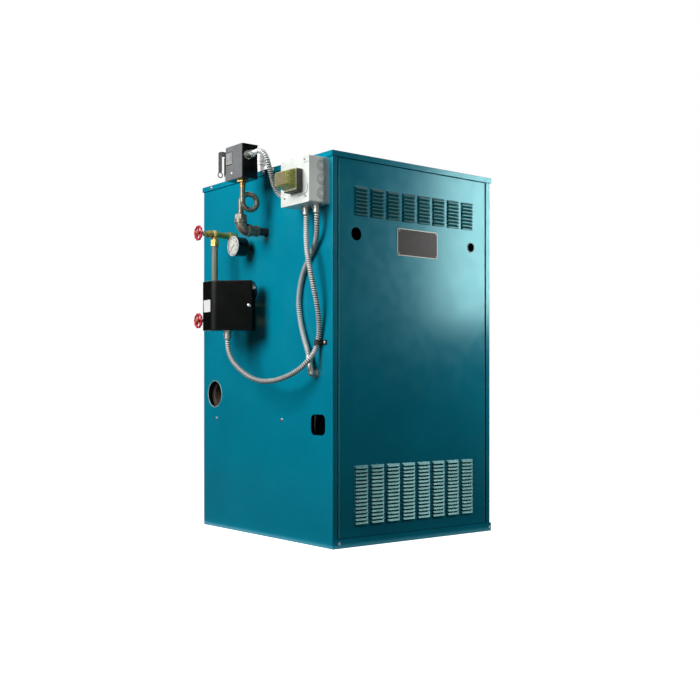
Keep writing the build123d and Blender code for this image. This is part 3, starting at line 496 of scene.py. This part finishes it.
# Stoved lacquer: clean white with a soft gleam
white_lacquer, tree, shader = finish("white_stoved_lacquer", {"IOR": 1.5, "Roughness": 0.3})
colour_between(tree, shader, clouds(tree, 12, 0, 1), "#DCDDDE", "#EBEBEA")
fitted("gauge_bezel", [(bezel_ring, on_dial)], white_lacquer)
marks = []
for n in range(dial_steps + 1):
    angle = sweep_from - sweep_deg * n / dial_steps
    major = n % steps_a_number == 0
    mesh, turn = ray(angle, 18.5 if major else 20.0, 22.0, 0.9 if major else 0.4, "tick")
    marks.append((mesh, on_dial @ turn))
    if major:
        x = number_reach * math.cos(math.radians(angle))
        y = number_reach * math.sin(math.radians(angle))
        marks.append((figure(str(n), number_size), on_dial @ Matrix.Translation((x, y, 0.05))))
shape = bmesh.new()
hand = [(-1.1, -6), (1.1, -6), (0.35, 19), (-0.35, 19)]
layered(shape, [(hand, 0.9), (hand, 1.2)])
pointer = drawn(shape, "pointer")
marks.append((pointer, on_dial @ Matrix.Rotation(math.radians(sweep_from - 90), 4, "Z")))
fitted("gauge_marks", marks, print_and_painted_shade)
shape = bmesh.new()
turned(shape, [(1.2, 0), (1.2, 1.4), (0.8, 1.6)], sides=16)
arbor = drawn(shape, "arbor")
fitted("gauge_arbor", [(arbor, on_dial)], brass)
shape = bmesh.new()
turned(shape, [(dial_r - 0.1, 1.9), (dial_r - 0.1, 2.2), (dial_r - 0.6, 2.45)], sides=48)
window_glass = drawn(shape, "window_glass")
# Window glass: clear, seen only by its gleam
clear, tree, shader = finish("clear_window_glass", {"IOR": 1.45, "Transmission Weight": 1.0})
colour_between(tree, shader, clouds(tree, 60, 0, 1), "#F7F9F7", "#FFFFFF")
tree.links.new(clouds(tree, 20, 0.01, 0.03), shader.inputs["Roughness"])
fitted("gauge_window", [(window_glass, on_dial)], clear)

# Rims of the openings
# The edges of the right finger hole and of the return's opening are turned over a steel wire and
# painted with the jacket. The rims are drawn pale, as a painted highlight where they catch the light.
finger_rim_r = 12.7
finger_rim_wire_r = 1.1
return_rim_r = 37.4
return_rim_wire_r = 1.3

# Painted highlight: pale metal colour with traces of teal
rim_painted_highlight, tree, shader = finish("rim_painted_pale_as_highlight", {"IOR": 1.5, "Metallic": 0.3})
colour_between(tree, shader, clouds(tree, 10, 0, 1, 4.0), "#7FA9A9", "#C3CFCB")
tree.links.new(clouds(tree, 6, 0.3, 0.45), shader.inputs["Roughness"])


def hoop(name, hoop_r, wire_r):
    """Mesh of a wire ring."""
    shape = bmesh.new()
    bent_round(shape, lambda turn: hoop_r, wire_r, 64, 8)
    return drawn(shape, name)


finger_rim = hoop("rim", finger_rim_r, finger_rim_wire_r)
fitted("finger_hole_rim", [(finger_rim, facing(front_out, 201, -307.3, 781))], rim_painted_highlight)
return_rim = hoop("rim", return_rim_r, return_rim_wire_r)
fitted("return_hole_rim", [(return_rim, facing(left_out, -275.4, 247, 380))], rim_painted_highlight)

# Siphon and its pipe
# Black steel pipe with malleable iron fittings, oiled and a little rusty, and a looped siphon of
# quarter-inch pipe in mill scale. The gauge's stem wears the same near-black as painted shade behind
# the gauge case, and the skim tapping on the cap has a hot-dipped nipple and cap.

# Malleable iron: uneven brown grey with the grain of the sand
malleable, tree, shader = finish("malleable_iron_in_black_oxide", {"Metallic": 0.35})
colour_between(tree, shader, clouds(tree, 9, 0, 1, 5.0), "#5C554A", "#8A8474")
tree.links.new(clouds(tree, 5, 0.3, 0.45), shader.inputs["Roughness"])
relief(tree, shader, clouds(tree, 1.6, 0, 1, 4.0), 0.12)
wear(malleable, "trim_coupling", "trim_elbow", "siphon_bushing")
# Oiled pipe: nearly black, with a wet gleam
oiled_pipe, tree, shader = finish("oiled_black_steel_pipe", {"Metallic": 0.3})
colour_between(tree, shader, clouds(tree, 9, 0, 1, 5.0), "#23211D", "#3F3B34")
tree.links.new(clouds(tree, 5, 0.25, 0.4), shader.inputs["Roughness"])
relief(tree, shader, clouds(tree, 1.6, 0, 1, 4.0), 0.08)
# On the gauge stem this near-black is painted shade, the shade behind the gauge case
wear(oiled_pipe, "trim_nipple", "gauge_stem")
# Mill scale: dull grey green under a thin film of oil
mill_scale, tree, shader = finish("steel_pipe_in_mill_scale", {
    "Metallic": 0.4, "Coat Weight": 0.5, "Coat Roughness": 0.12,
})
colour_between(tree, shader, clouds(tree, 12, 0, 1, 5.0), "#4F5044", "#7C7B69")
tree.links.new(clouds(tree, 6, 0.26, 0.4), shader.inputs["Roughness"])
relief(tree, shader, clouds(tree, 1.2, 0, 1, 4.0), 0.05)
wear(mill_scale, "siphon")
# Hot-dipped zinc: pale and matt
zinc_pipe, tree, shader = finish("hot_dipped_pipe", {"Metallic": 0.4})
colour_between(tree, shader, clouds(tree, 7, 0, 1, 4.0), "#BDB8B8", "#DDD8D8")
tree.links.new(clouds(tree, 6, 0.4, 0.55), shader.inputs["Roughness"])
wear(zinc_pipe, "skim_nipple", "skim_cap")

# Pressure control
# Steel case in black lacquer, with a grey enamelled cover that one screw holds on. The scale card and
# its two pointers show in the cover's window, and two screws on top set them.
tick_count = 11
tick_pitch = 2.4

wear(lacquer, "control_case")
# Grey enamel: even grey with a soft, faintly rippled gleam
grey_enamel, tree, shader = finish("grey_baked_enamel", {"IOR": 1.5})
colour_between(tree, shader, clouds(tree, 30, 0, 1), "#686A6C", "#747677")
tree.links.new(clouds(tree, 10, 0.3, 0.45), shader.inputs["Roughness"])
relief(tree, shader, clouds(tree, 2.0, 0, 1), 0.02)
wear(grey_enamel, "control_cover")

# Scale card: bare aluminium grey without gleam
pale_card, tree, shader = finish("aluminium_scale_card", {"IOR": 1.5, "Roughness": 0.45})
colour_between(tree, shader, clouds(tree, 6, 0, 1), "#8E9091", "#A0A2A2")
on_cover = facing(left_out, -386.5, -7, 994.6)
bezel = slab("bezel", 32, 34, 0.5, 2.5, 0.2)
scale_card = slab("scale_card", 28, 30, 0.62, 1.0, 0.05, 0.2)
fitted("control_scale_card", [(scale_card, on_cover)], pale_card)
marks = []
for column in (-7, 7):
    marks.append((slab("line", 0.5, 25, 0.7, 0.1, 0.02, 0.5), on_cover @ Matrix.Translation((column, 0, 0))))
    for n in range(tick_count):
        width = 4.5 if n % 5 == 0 else 2.6
        move = Matrix.Translation((column - width / 2, -12 + tick_pitch * n, 0))
        marks.append((slab("tick", width, 0.45, 0.7, 0.1, 0.02, 0.5), on_cover @ move))
for column, height in ((-4, -5), (10, 3)):
    move = Matrix.Translation((column, height, 0))
    marks.append((slab("pointer", 4, 1.4, 0.9, 0.3, 0.1, 0.5), on_cover @ move))
marks.append((bezel, on_cover @ Matrix.Diagonal((1, 1, 0.5, 1))))
fitted("control_scale", marks, print_and_painted_shade)

shape = bmesh.new()
turned(shape, [(4.0, 0), (4.0, 1.2), (3.4, 2.0), (2.0, 2.5), (0.5, 2.6)])
# The head's slot: cut along both of its sides, and the strip between them is sunk
slot_half = 0.6
slot_depth = 1.1
slot_above = 1.9
for offset in (-slot_half, slot_half):
    everything = shape.verts[:] + shape.edges[:] + shape.faces[:]
    bmesh.ops.bisect_plane(shape, geom=everything, dist=0.0001, plane_co=(0, offset, 0), plane_no=(0, 1, 0))
shape.normal_update()
centres = [(face, face.calc_center_median()) for face in shape.faces]
slot_faces = [face for face, centre in centres if abs(centre.y) < slot_half and centre.z > slot_above]
sunk = bmesh.ops.extrude_face_region(shape, geom=slot_faces)
sunk_points = [part for part in sunk["geom"] if isinstance(part, bmesh.types.BMVert)]
bmesh.ops.translate(shape, vec=(0, 0, -slot_depth), verts=sunk_points)
bmesh.ops.delete(shape, geom=slot_faces, context="FACES")
pan_screw = drawn(shape, "pan_screw")
fitted("control_screw", [(pan_screw, facing(left_out, -386.5, -19.7, 954.2, 25))], zinc)
for name, y in (("control_main_adjuster", -16), ("control_difference_adjuster", -42)):
    fitted(name, [(pan_screw, facing(up, -361, y, 1026, 40))], zinc)

# Low-water cutoff
# Compression-moulded phenolic housing, black and glossy, with a moulded ear on its right side, a tab
# there whose white is a painted highlight, a bright screw, and a blank white label on its left face.

# Phenolic: deep black and smooth, with a broad, weak gleam
phenolic, tree, shader = finish("black_moulded_phenolic", {"IOR": 1.5, "Specular IOR Level": 0.2})
colour_between(tree, shader, clouds(tree, 30, 0, 1), "#040605", "#090D0A")
tree.links.new(clouds(tree, 40, 0.24, 0.27, 1.0), shader.inputs["Roughness"])
relief(tree, shader, clouds(tree, 9.0, 0, 1, 1.0), 0.006)
wear(phenolic, "cutoff_case")
label = slab("label", 34, 32, 0.15, 1.5, 0.05)
fitted("cutoff_label", [(label, facing(left_out, -404.98, 73.5, 614.5))], white_lacquer)

yaw = math.radians(45)
across = Vector((math.sin(yaw), -math.cos(yaw), 0))
outward = Vector((-math.cos(yaw), -math.sin(yaw), 0))
cutoff_back = Vector((-347, 53.5, 615))


def on_cutoff(aside, out, z, direction, turn=0):
    """Place on the cutoff's housing, measured along its own width and depth."""
    x, y, _ = cutoff_back + across * aside + outward * out
    return facing(direction, x, y, z, turn)


shape = bmesh.new()
ear = [(-24, 0), (24, 0), (21, 3.5), (13, 6.6), (3, 7.9), (-7, 7.2), (-17, 4.2)]
layered(shape, [(ear, -13), (ear, 11), ([(x * 0.93, y * 0.9) for x, y in ear], 13)])
ear_mesh = drawn(shape, "ear")
local = Matrix((
    (0, across.x, outward.x, 0),
    (0, across.y, outward.y, 0),
    (1, 0, 0, 0),
    (0, 0, 0, 1),
))
ear_rise = Vector((0, 0, 0.038))
ear_place = Matrix.Translation((cutoff_back + across * 69.5 + outward * 22) / 1000 + ear_rise)
ear_place = ear_place @ local @ Matrix.Scale(0.001, 4)
fitted("cutoff_ear", [(ear_mesh, ear_place)], phenolic, crease=50)
# The ear's white tab is a painted highlight, where the ear's side catches the light
shape = bmesh.new()
highlight_tab = [(4, -1), (23, -1), (7, 9)]
layered(shape, [(highlight_tab, 0), (highlight_tab, 0.8)])
highlight_tab_mesh = drawn(shape, "highlight_tab")
highlight_tab_place = Matrix.Translation((cutoff_back + across * 70 + outward * 35.2) / 1000 + ear_rise)
fitted("cutoff_highlight_tab", [(highlight_tab_mesh, highlight_tab_place @ local @ Matrix.Scale(0.001, 4))], white_lacquer)
shape = bmesh.new()
turned(shape, [(4.2, 0), (4.2, 1.0), (3.4, 2.2), (1.6, 2.9)])
for vert in shape.verts:
    vert.co.x *= 1.35
oval = drawn(shape, "oval")
fitted("cutoff_screw", [(oval, on_cutoff(62.5, 45, 614, outward, -38))], zinc)

# Junction box
# Drawn box of galvanised steel, pressed with concentric knockouts, under a flat cover that has three
# pan-head screws, two keyhole slots and a pressed bead.
box_cover_x = -338
inner_seam_r = 7.25
outer_seam_r = 12.0
seam_wire_r = 0.5
bead_r = 0.7

# Pregalvanised steel: nearly white and cloudy, with a wide soft gleam
box_zinc, tree, shader = finish("pregalvanised_box_steel", {"Metallic": 0.35})
colour_between(tree, shader, clouds(tree, 30, 0, 1, 3.0), "#D8DED8", "#E2E7E1")
tree.links.new(clouds(tree, 20, 0.46, 0.56), shader.inputs["Roughness"])
relief(tree, shader, clouds(tree, 5.0, 0, 1), 0.04)
wear(box_zinc, "junction_box", "junction_box_cover")
shape = bmesh.new()
turned(shape, [(11.6, 0), (11.2, 0.9), (8.2, 0.9), (7.6, 0.1), (6.9, 0.1), (6.4, 1.1), (0.5, 1.2)], sides=40)
knockout = drawn(shape, "knockout")
places = [facing(front_out, -301, -294, z) for z in (941, 907, 873)]
places += [facing(up, -306, y, 963) for y in (-262, -206)]
fitted("box_knockouts", [(knockout, place) for place in places], box_zinc)
# Painted shade: dark grey lines standing for the shade in the pressed grooves
shadow_seam, tree, shader = finish("painted_shade_in_pressed_seams", {"IOR": 1.5, "Roughness": 0.7})
colour_between(tree, shader, clouds(tree, 12, 0, 1), "#4C514C", "#6C716B")
seams = [(hoop("seam", r, seam_wire_r), place) for place in places for r in (inner_seam_r, outer_seam_r)]
fitted("box_knockout_seams", seams, shadow_seam)
screws = ((-277, 955, 30), (-192, 871, -15), (-281, 866, 70))
copies = [(pan_screw, facing(left_out, box_cover_x, y, z, turn)) for y, z, turn in screws]
fitted("box_screws", copies, zinc)
# The keyhole slots are drawn as flat black patches: painted shade for the dark inside the holes
slot_mesh = slab("slot", 5, 2.2, 0.08, 1.0, 0.02)
slots = [(slot_mesh, facing(left_out, box_cover_x, y, z, 25)) for y, z in ((-278, 946), (-286, 947))]
fitted("box_keyhole_shade", slots, print_and_painted_shade)
shape = bmesh.new()
bend = ((-289, 893), (-289, 884), (-287, 876), (-281, 871.5), (-268, 869), (-246, 868))
tube(shape, [Vector((box_cover_x - 0.2, y, z)) for y, z in bend], lambda n, turn: bead_r, 10)
bead = drawn(shape, "bead")
# The bead is drawn in the same painted shade, as its dark shadow line
fitted("box_cover_bead", [(bead, Matrix.Scale(0.001, 4))], shadow_seam)

# Transformer
# Stack of blued silicon-steel laminations riveted to the cover, with a coil in varnished paper tape
# that stands out of it, brown paper on its end, and a pale fibre flange where it meets the iron.
transformer_x = -358
transformer_y = -243
coil_z = 906.5

# Blued laminations: dark grey, with the sheets' edges in fine ridges
laminations, tree, shader = finish("stacked_silicon_steel", {"Metallic": 0.8, "Roughness": 0.5})
place = node(tree, "ShaderNodeTexCoord").outputs["Object"]
# Sheets of 0.5 mm are too fine for the render, so the stack is drawn with edges 1.6 mm apart.
edge_scale = 1000 / 1.6 / (2 * math.pi)
edges = node(tree, "ShaderNodeTexWave", {"Vector": place, "Scale": edge_scale, "Distortion": 0.4})
edges.bands_direction = "X"
colour_between(tree, shader, edges.outputs["Fac"], "#3E3F3B", "#5C5D57")
relief(tree, shader, edges.outputs["Fac"], 0.2)
wear(laminations, "transformer_core")
# Varnished tape: yellow green with a soft wet gleam
tape, tree, shader = finish("varnished_paper_tape", {"IOR": 1.5, "Coat Weight": 0.4, "Coat Roughness": 0.15})
colour_between(tree, shader, clouds(tree, 7, 0, 1, 4.0, (1, 1, 3)), "#989A3F", "#D2D87E")
tree.links.new(clouds(tree, 4, 0.3, 0.5), shader.inputs["Roughness"])
relief(tree, shader, clouds(tree, 2.0, 0, 1, 3.0, (1, 1, 4)), 0.15)
wear(tape, "transformer_coil")
shape = bmesh.new()
layered(shape, [
    (rounded(52, 48, 3), 0), (rounded(52, 48, 3), 4), (rounded(50, 33, 4), 28), (rounded(47, 30, 4), 30),
])
coil_mesh = drawn(shape, "coil")
coil_place = facing(left_out, transformer_x, transformer_y, coil_z)
coil = fitted("transformer_winding", [(coil_mesh, coil_place)], tape, crease=40)
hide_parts("transformer_coil")
# Fibre board: pale yellow without gleam
fibre, tree, shader = finish("pale_fibre_board", {"IOR": 1.45, "Roughness": 0.6})
colour_between(tree, shader, clouds(tree, 5, 0, 1), "#C9CCA4", "#E2E4C8")
flange = slab("flange", 54, 52, 1.6, 3.0, 0.3)
flange_place = facing(left_out, transformer_x, transformer_y, coil_z - 1)
fitted("transformer_flange", [(flange, flange_place)], fibre)
# Brown paper: dull olive brown under varnish
brown_paper, tree, shader = finish("varnished_brown_paper", {"IOR": 1.5, "Roughness": 0.4})
colour_between(tree, shader, clouds(tree, 12, 0, 1, 4.0), "#6E6748", "#8A8160")
end_paper = slab("end_paper", 46, 29, 0.5, 4.0, 0.1)
paper_place = facing(left_out, transformer_x - 30, transformer_y, coil_z)
fitted("transformer_end_paper", [(end_paper, paper_place)], brown_paper)

# Conduits
# Flexible conduit wound from galvanised steel strip, 13.6 mm over the ribs, whose turns lock into
# each other and leave a rib every 5.6 mm. Each runs from one connector into the next.
conduit_r = 0.0068
rib_pitch = 0.0056
rib_depth = 0.0014
rib_share = 0.66
rib_steps = 8
conduit_sides = 16
groove_share = 0.45

# Galvanised strip: nearly white, with small cloudy gleams
strip_steel, tree, shader = finish("galvanised_strip", {"Metallic": 0.2})
colour_between(tree, shader, clouds(tree, 16, 0, 1, 4.0), "#EEF1EE", "#FAFBF8")
tree.links.new(clouds(tree, 5, 0.34, 0.5), shader.inputs["Roughness"])
# Painted shade: dark grey in the grooves between the ribs
groove_painted_shade, tree, shader = finish("painted_shade_between_ribs", {"Metallic": 0.2, "Roughness": 0.7})
colour_between(tree, shader, clouds(tree, 16, 0, 1), "#2A302C", "#434943")

routes = {
    "limit_conduit": [
        (-0.368, -0.089, 0.997), (-0.368, -0.101, 0.997), (-0.368, -0.114, 0.999), (-0.366, -0.128, 0.997),
        (-0.363, -0.139, 0.988), (-0.359, -0.1445, 0.974), (-0.353, -0.144, 0.957), (-0.345, -0.14, 0.942),
        (-0.336, -0.133, 0.928), (-0.328, -0.129, 0.916), (-0.32, -0.126, 0.905), (-0.313, -0.127, 0.895),
        (-0.307, -0.133, 0.888), (-0.304, -0.142, 0.885), (-0.304, -0.153, 0.885),
    ],
    "cutoff_conduit": [
        (-0.301, -0.232, 0.827), (-0.301, -0.232, 0.8), (-0.308, -0.241, 0.765), (-0.314, -0.255, 0.723),
        (-0.312, -0.267, 0.675), (-0.305, -0.274, 0.628), (-0.295, -0.274, 0.584), (-0.287, -0.268, 0.547),
        (-0.2837, -0.26, 0.516), (-0.288, -0.256, 0.495), (-0.298, -0.255, 0.477), (-0.311, -0.249, 0.461),
        (-0.322, -0.233, 0.443), (-0.333, -0.201, 0.426), (-0.345, -0.155, 0.414), (-0.354, -0.108, 0.413),
        (-0.36, -0.061, 0.425), (-0.362, -0.019, 0.446), (-0.363, 0.006, 0.462), (-0.363, 0.024, 0.479),
        (-0.363, 0.0345, 0.499), (-0.363, 0.0375, 0.514), (-0.363, 0.0375, 0.527),
    ],
    "valve_conduit": [
        (-0.301, -0.276, 0.827), (-0.301, -0.276, 0.805), (-0.293, -0.266, 0.777), (-0.286, -0.247, 0.75),
        (-0.284, -0.221, 0.722), (-0.284, -0.196, 0.691), (-0.284, -0.181, 0.654), (-0.284, -0.175, 0.616),
        (-0.284, -0.18, 0.582), (-0.285, -0.189, 0.552), (-0.286, -0.201, 0.525), (-0.288, -0.214, 0.502),
        (-0.29, -0.2235, 0.488), (-0.29, -0.227, 0.476),
    ],
}


def smooth_line(route):
    """Points along the smooth curve that a route's points pull after them."""
    curve = bpy.data.curves.new("route", "CURVE")
    curve.dimensions = "3D"
    spline = curve.splines.new("NURBS")
    spline.points.add(len(route) - 1)
    for point, place in zip(spline.points, route):
        point.co = (*place, 1.0)
    spline.order_u = 3
    spline.use_endpoint_u = True
    spline.resolution_u = 16
    line = bpy.data.meshes.new_from_object(bpy.data.objects.new("route", curve))
    return [vert.co.copy() for vert in line.vertices]


def even_steps(points, step):
    """Points a step apart on a line."""
    places = [points[0]]
    travelled = 0.0
    for before, after in zip(points, points[1:]):
        run = (after - before).length
        while travelled + run >= step * len(places):
            share = (step * len(places) - travelled) / run
            places.append(before.lerp(after, share))
        travelled += run
    places.append(points[-1])
    return places


def rib(n, turn):
    """Radius of the strip's winding at one point of its section."""
    phase = (n / rib_steps + turn / (2 * math.pi)) % 1.0
    crown = max(0.0, math.sin(math.pi * min(phase / rib_share, 1.0))) ** 0.5
    return conduit_r - rib_depth * (1 - crown)


for name, route in routes.items():
    line = smooth_line(route)
    shape = bmesh.new()
    tube(shape, even_steps(line, rib_pitch / rib_steps), rib, conduit_sides)
    wound = drawn(shape, "wound")
    piece = fitted(name + "_wound", [(wound, Matrix())], strip_steel, crease=60)
    piece.data.materials.append(groove_painted_shade)
    # Faces deep in a groove take the painted shade
    for face in piece.data.polygons:
        ring, corner = divmod(face.vertices[0], conduit_sides)
        radius = rib(ring, 2 * math.pi * corner / conduit_sides)
        in_groove = radius < conduit_r - groove_share * rib_depth and len(face.vertices) == 4
        face.material_index = 1 if in_groove else 0
    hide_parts(name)

# Connectors and clip
# Die-cast zinc connectors with a set screw that bears on the conduit, a pressed steel locknut against
# each box, and one strap of black steel under a screw where the long conduit crosses the jacket.
# Die-cast zinc: grey with a grainy, soft gleam
die_cast, tree, shader = finish("die_cast_zinc", {"Metallic": 1.0})
colour_between(tree, shader, clouds(tree, 5, 0, 1, 4.0), "#8E928C", "#B8BBB4")
tree.links.new(clouds(tree, 3, 0.34, 0.5), shader.inputs["Roughness"])
relief(tree, shader, clouds(tree, 1.0, 0, 1, 4.0), 0.05)
wear(die_cast, "control_connector", "box_side_connector", "box_rear_drop_connector",
     "box_front_drop_connector", "cutoff_connector", "elbow_connector")
# Enamelled strap: black with a soft gleam
black_strap, tree, shader = finish("black_enamelled_strap", {"IOR": 1.5})
colour_between(tree, shader, clouds(tree, 4, 0, 1), "#0B0C0C", "#1A1B1A")
tree.links.new(clouds(tree, 3, 0.3, 0.5), shader.inputs["Roughness"])
wear(black_strap, "conduit_clip")
shape = bmesh.new()
turned(shape, [(2.6, -1.0), (2.6, 2.2), (2.0, 2.8)], sides=16)
set_screw = drawn(shape, "set_screw")
places = [
    facing(left_out, -377.5, -100, 997), facing(up, -304, -164, 894.5),
    facing(left_out, -310.5, -232, 838), facing(left_out, -310.5, -276, 838),
    facing(left_out, -372.5, 37.5, 538), facing(left_out, -298.5, -231, 458),
]
fitted("connector_screws", [(set_screw, place) for place in places], zinc)
fitted("clip_screw", [(pan_screw, facing(left_out, -277.4, -276, 509, 10))], zinc)

# Safety valve
# Bronze body, cast and turned. The lever is pressed from plated steel strip with a ring for a pull
# chain, and turns on an eye between two cheeks to lift the valve off its seat by hand.
valve_y = 262
lever_wide = 17.0
lever_top_z = 1077.8

# Weathered bronze: brown grey and rough, with little yellow left
bronze, tree, shader = finish("weathered_cast_bronze", {"Metallic": 0.7})
colour_between(tree, shader, clouds(tree, 8, 0, 1, 4.0), "#6F6355", "#8E8271")
tree.links.new(clouds(tree, 4, 0.34, 0.5), shader.inputs["Roughness"])
relief(tree, shader, clouds(tree, 1.4, 0, 1, 4.0), 0.12)
wear(bronze, "safety_valve")
# Dull plate: dark grey with a weak, cloudy gleam
dull_plate, tree, shader = finish("dull_plated_strip", {"Metallic": 0.5})
colour_between(tree, shader, clouds(tree, 5, 0, 1, 4.0), "#4A4B4D", "#6E7072")
tree.links.new(clouds(tree, 4, 0.35, 0.5), shader.inputs["Roughness"])
wear(dull_plate, "safety_lever")
strap = slab("strap", lever_wide, 58, 2.4, 3.0, 0.4)
shoulder = slab("shoulder", 29, lever_wide, 2.4, 2.0, 0.4)
cheek = slab("cheek", 27, 10, 1.6, 2.0, 0.3)
eye_strap = slab("eye_strap", 12, 7, 2.4, 0.5, 0.3)
shape = bmesh.new()
turned(shape, [(5.0, -3.4), (5.0, 3.4)], sides=32)
eye = drawn(shape, "eye")
pieces = [
    (strap, facing(left_out, -247.8, valve_y, 1051)),
    (shoulder, facing(up, -235.7, valve_y, lever_top_z)),
    (eye_strap, facing(up, -218, valve_y, lever_top_z)),
    (eye, facing(front_out, -214, valve_y, 1079)),
    (hoop("pull", 7.4, 1.6), facing(front_out, -249, valve_y, 1014)),
]
for side in (-1, 1):
    cheek_y = valve_y + side * (lever_wide / 2 - 0.8) + 0.8
    pieces.append((cheek, facing(front_out, -236, cheek_y, 1075)))
lever = fitted("safety_lever_pressed", pieces, dull_plate, "valve_lever")
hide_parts("safety_lever")

# Studio
# A pale floor in a white room. A large soft box hangs high beside the left side, and a small one
# stands before the door's right edge. Black flags and cards keep the room's white out of the enamel.
room_size = 9
floor_glow = 0.975
floor_grey = 0.82
room_light = 0.05


def straight_rays(tree):
    """1 for a ray from the camera or by way of a reflection or glass, and 0 for scattered light."""
    path = node(tree, "ShaderNodeLightPath")
    seen = path.outputs["Is Camera Ray"]
    for kind in ("Is Glossy Ray", "Is Transmission Ray"):
        seen = node(tree, "ShaderNodeMath", {0: seen, 1: path.outputs[kind]}, operation="ADD").outputs[0]
    return seen


floor_mesh = bpy.data.meshes.new("floor")
corners = [(x * room_size, y * room_size, 0) for x, y in ((-1, -1), (1, -1), (1, 1), (-1, 1))]
floor_mesh.from_pydata(corners, [], [(0, 1, 2, 3)])
floor = bpy.data.objects.new("floor", floor_mesh)
bpy.context.scene.collection.objects.link(floor)
# Matt floor paint: white where it is seen, with the object's shadow on it
floor_paint = bpy.data.materials.new("pale_matt_floor")
floor_paint.use_nodes = True
tree = floor_paint.node_tree
tree.nodes.clear()
glow = node(tree, "ShaderNodeMath", {0: straight_rays(tree), 1: floor_glow}, operation="MULTIPLY")
lit = node(tree, "ShaderNodeBsdfDiffuse", {"Color": (floor_grey, floor_grey, floor_grey, 1)})
shine = node(tree, "ShaderNodeEmission", {"Color": (1, 1, 1, 1), "Strength": glow.outputs[0]})
both = node(tree, "ShaderNodeAddShader", {0: lit.outputs[0], 1: shine.outputs[0]})
node(tree, "ShaderNodeOutputMaterial", {0: both.outputs[0]})
floor.data.materials.append(floor_paint)

world = bpy.data.worlds.new("room")
bpy.context.scene.world = world
world.use_nodes = True
tree = world.node_tree
tree.nodes.clear()
level = node(tree, "ShaderNodeMix", {0: straight_rays(tree), 2: room_light, 3: 1.0})
room = node(tree, "ShaderNodeBackground", {"Color": (1, 1, 1, 1), "Strength": level.outputs[0]})
node(tree, "ShaderNodeOutputWorld", {0: room.outputs[0]})


def soft_box(name, place, target, width, height, power, spread):
    """Soft rectangular light that looks from its place at a target."""
    light = bpy.data.lights.new(name, "AREA")
    light.shape = "RECTANGLE"
    light.size = width
    light.size_y = height
    light.energy = power
    light.spread = math.radians(spread)
    lamp = bpy.data.objects.new(name, light)
    lamp.location = place
    lamp.rotation_euler = (Vector(target) - Vector(place)).to_track_quat("-Z", "Y").to_euler()
    lamp.visible_camera = False
    bpy.context.scene.collection.objects.link(lamp)


soft_box("side_box", (-2.05, -0.05, 1.6), (-0.28, 0.0, 0.95), 1.3, 1.2, 53, 180)
soft_box("front_box", (0.98, -0.95, 0.96), (0.34, -0.3, 0.8), 0.42, 0.62, 4.0, 110)

# Flag cloth: black and matt, unseen by the camera and without a shadow
black_cloth = bpy.data.materials.new("black_flag_cloth")
black_cloth.use_nodes = True
cloth_shader = black_cloth.node_tree.nodes["Principled BSDF"]
cloth_shader.inputs["Base Color"].default_value = (0.01, 0.01, 0.01, 1)
cloth_shader.inputs["Roughness"].default_value = 1.0
card_z = 0.004
flags = {
    "front_flag": [(3.4, -1.8, 0.02), (-0.4, -3.6, 0.02), (-0.4, -3.6, 3.0), (3.4, -1.8, 3.0)],
    "left_flag": [(-0.75, 2.0, 0.02), (-2.3, 1.2, 0.02), (-2.3, 1.2, 2.4), (-0.75, 2.0, 2.4)],
    "camera_flag": [(-4.4, -0.7, 0.02), (-1.7, -4.4, 0.02), (-1.7, -4.4, 2.6), (-4.4, -0.7, 2.6)],
    "left_card": [(*corner, card_z) for corner in (
        (-2.4, 1.4), (-0.6, 2.2), (-0.29, 0.3), (-0.29, -0.5), (-1.6, -0.9),
    )],
    "front_card": [(*corner, card_z) for corner in (
        (2.6, -2.4), (-0.2, -3.2), (-0.5, -0.6), (-0.27, -0.33), (0.7, -0.33),
    )],
}
for name, corners in flags.items():
    cloth = bpy.data.meshes.new(name)
    cloth.from_pydata(corners, [], [range(len(corners))])
    cloth.materials.append(black_cloth)
    flag = bpy.data.objects.new(name, cloth)
    bpy.context.scene.collection.objects.link(flag)
    flag.visible_camera = False
    flag.visible_shadow = False

camera = bpy.data.cameras.new("camera")
camera.lens = 53.2
camera.sensor_width = 36
camera.shift_y = 0.0567
viewer = bpy.data.objects.new("camera", camera)
viewer.location = (-1.822, -2.317, 0.392)
viewer.rotation_euler = (math.radians(90), 0, math.radians(-38.53))
bpy.context.scene.collection.objects.link(viewer)
bpy.context.scene.camera = viewer
bpy.context.scene.view_settings.view_transform = "Standard"
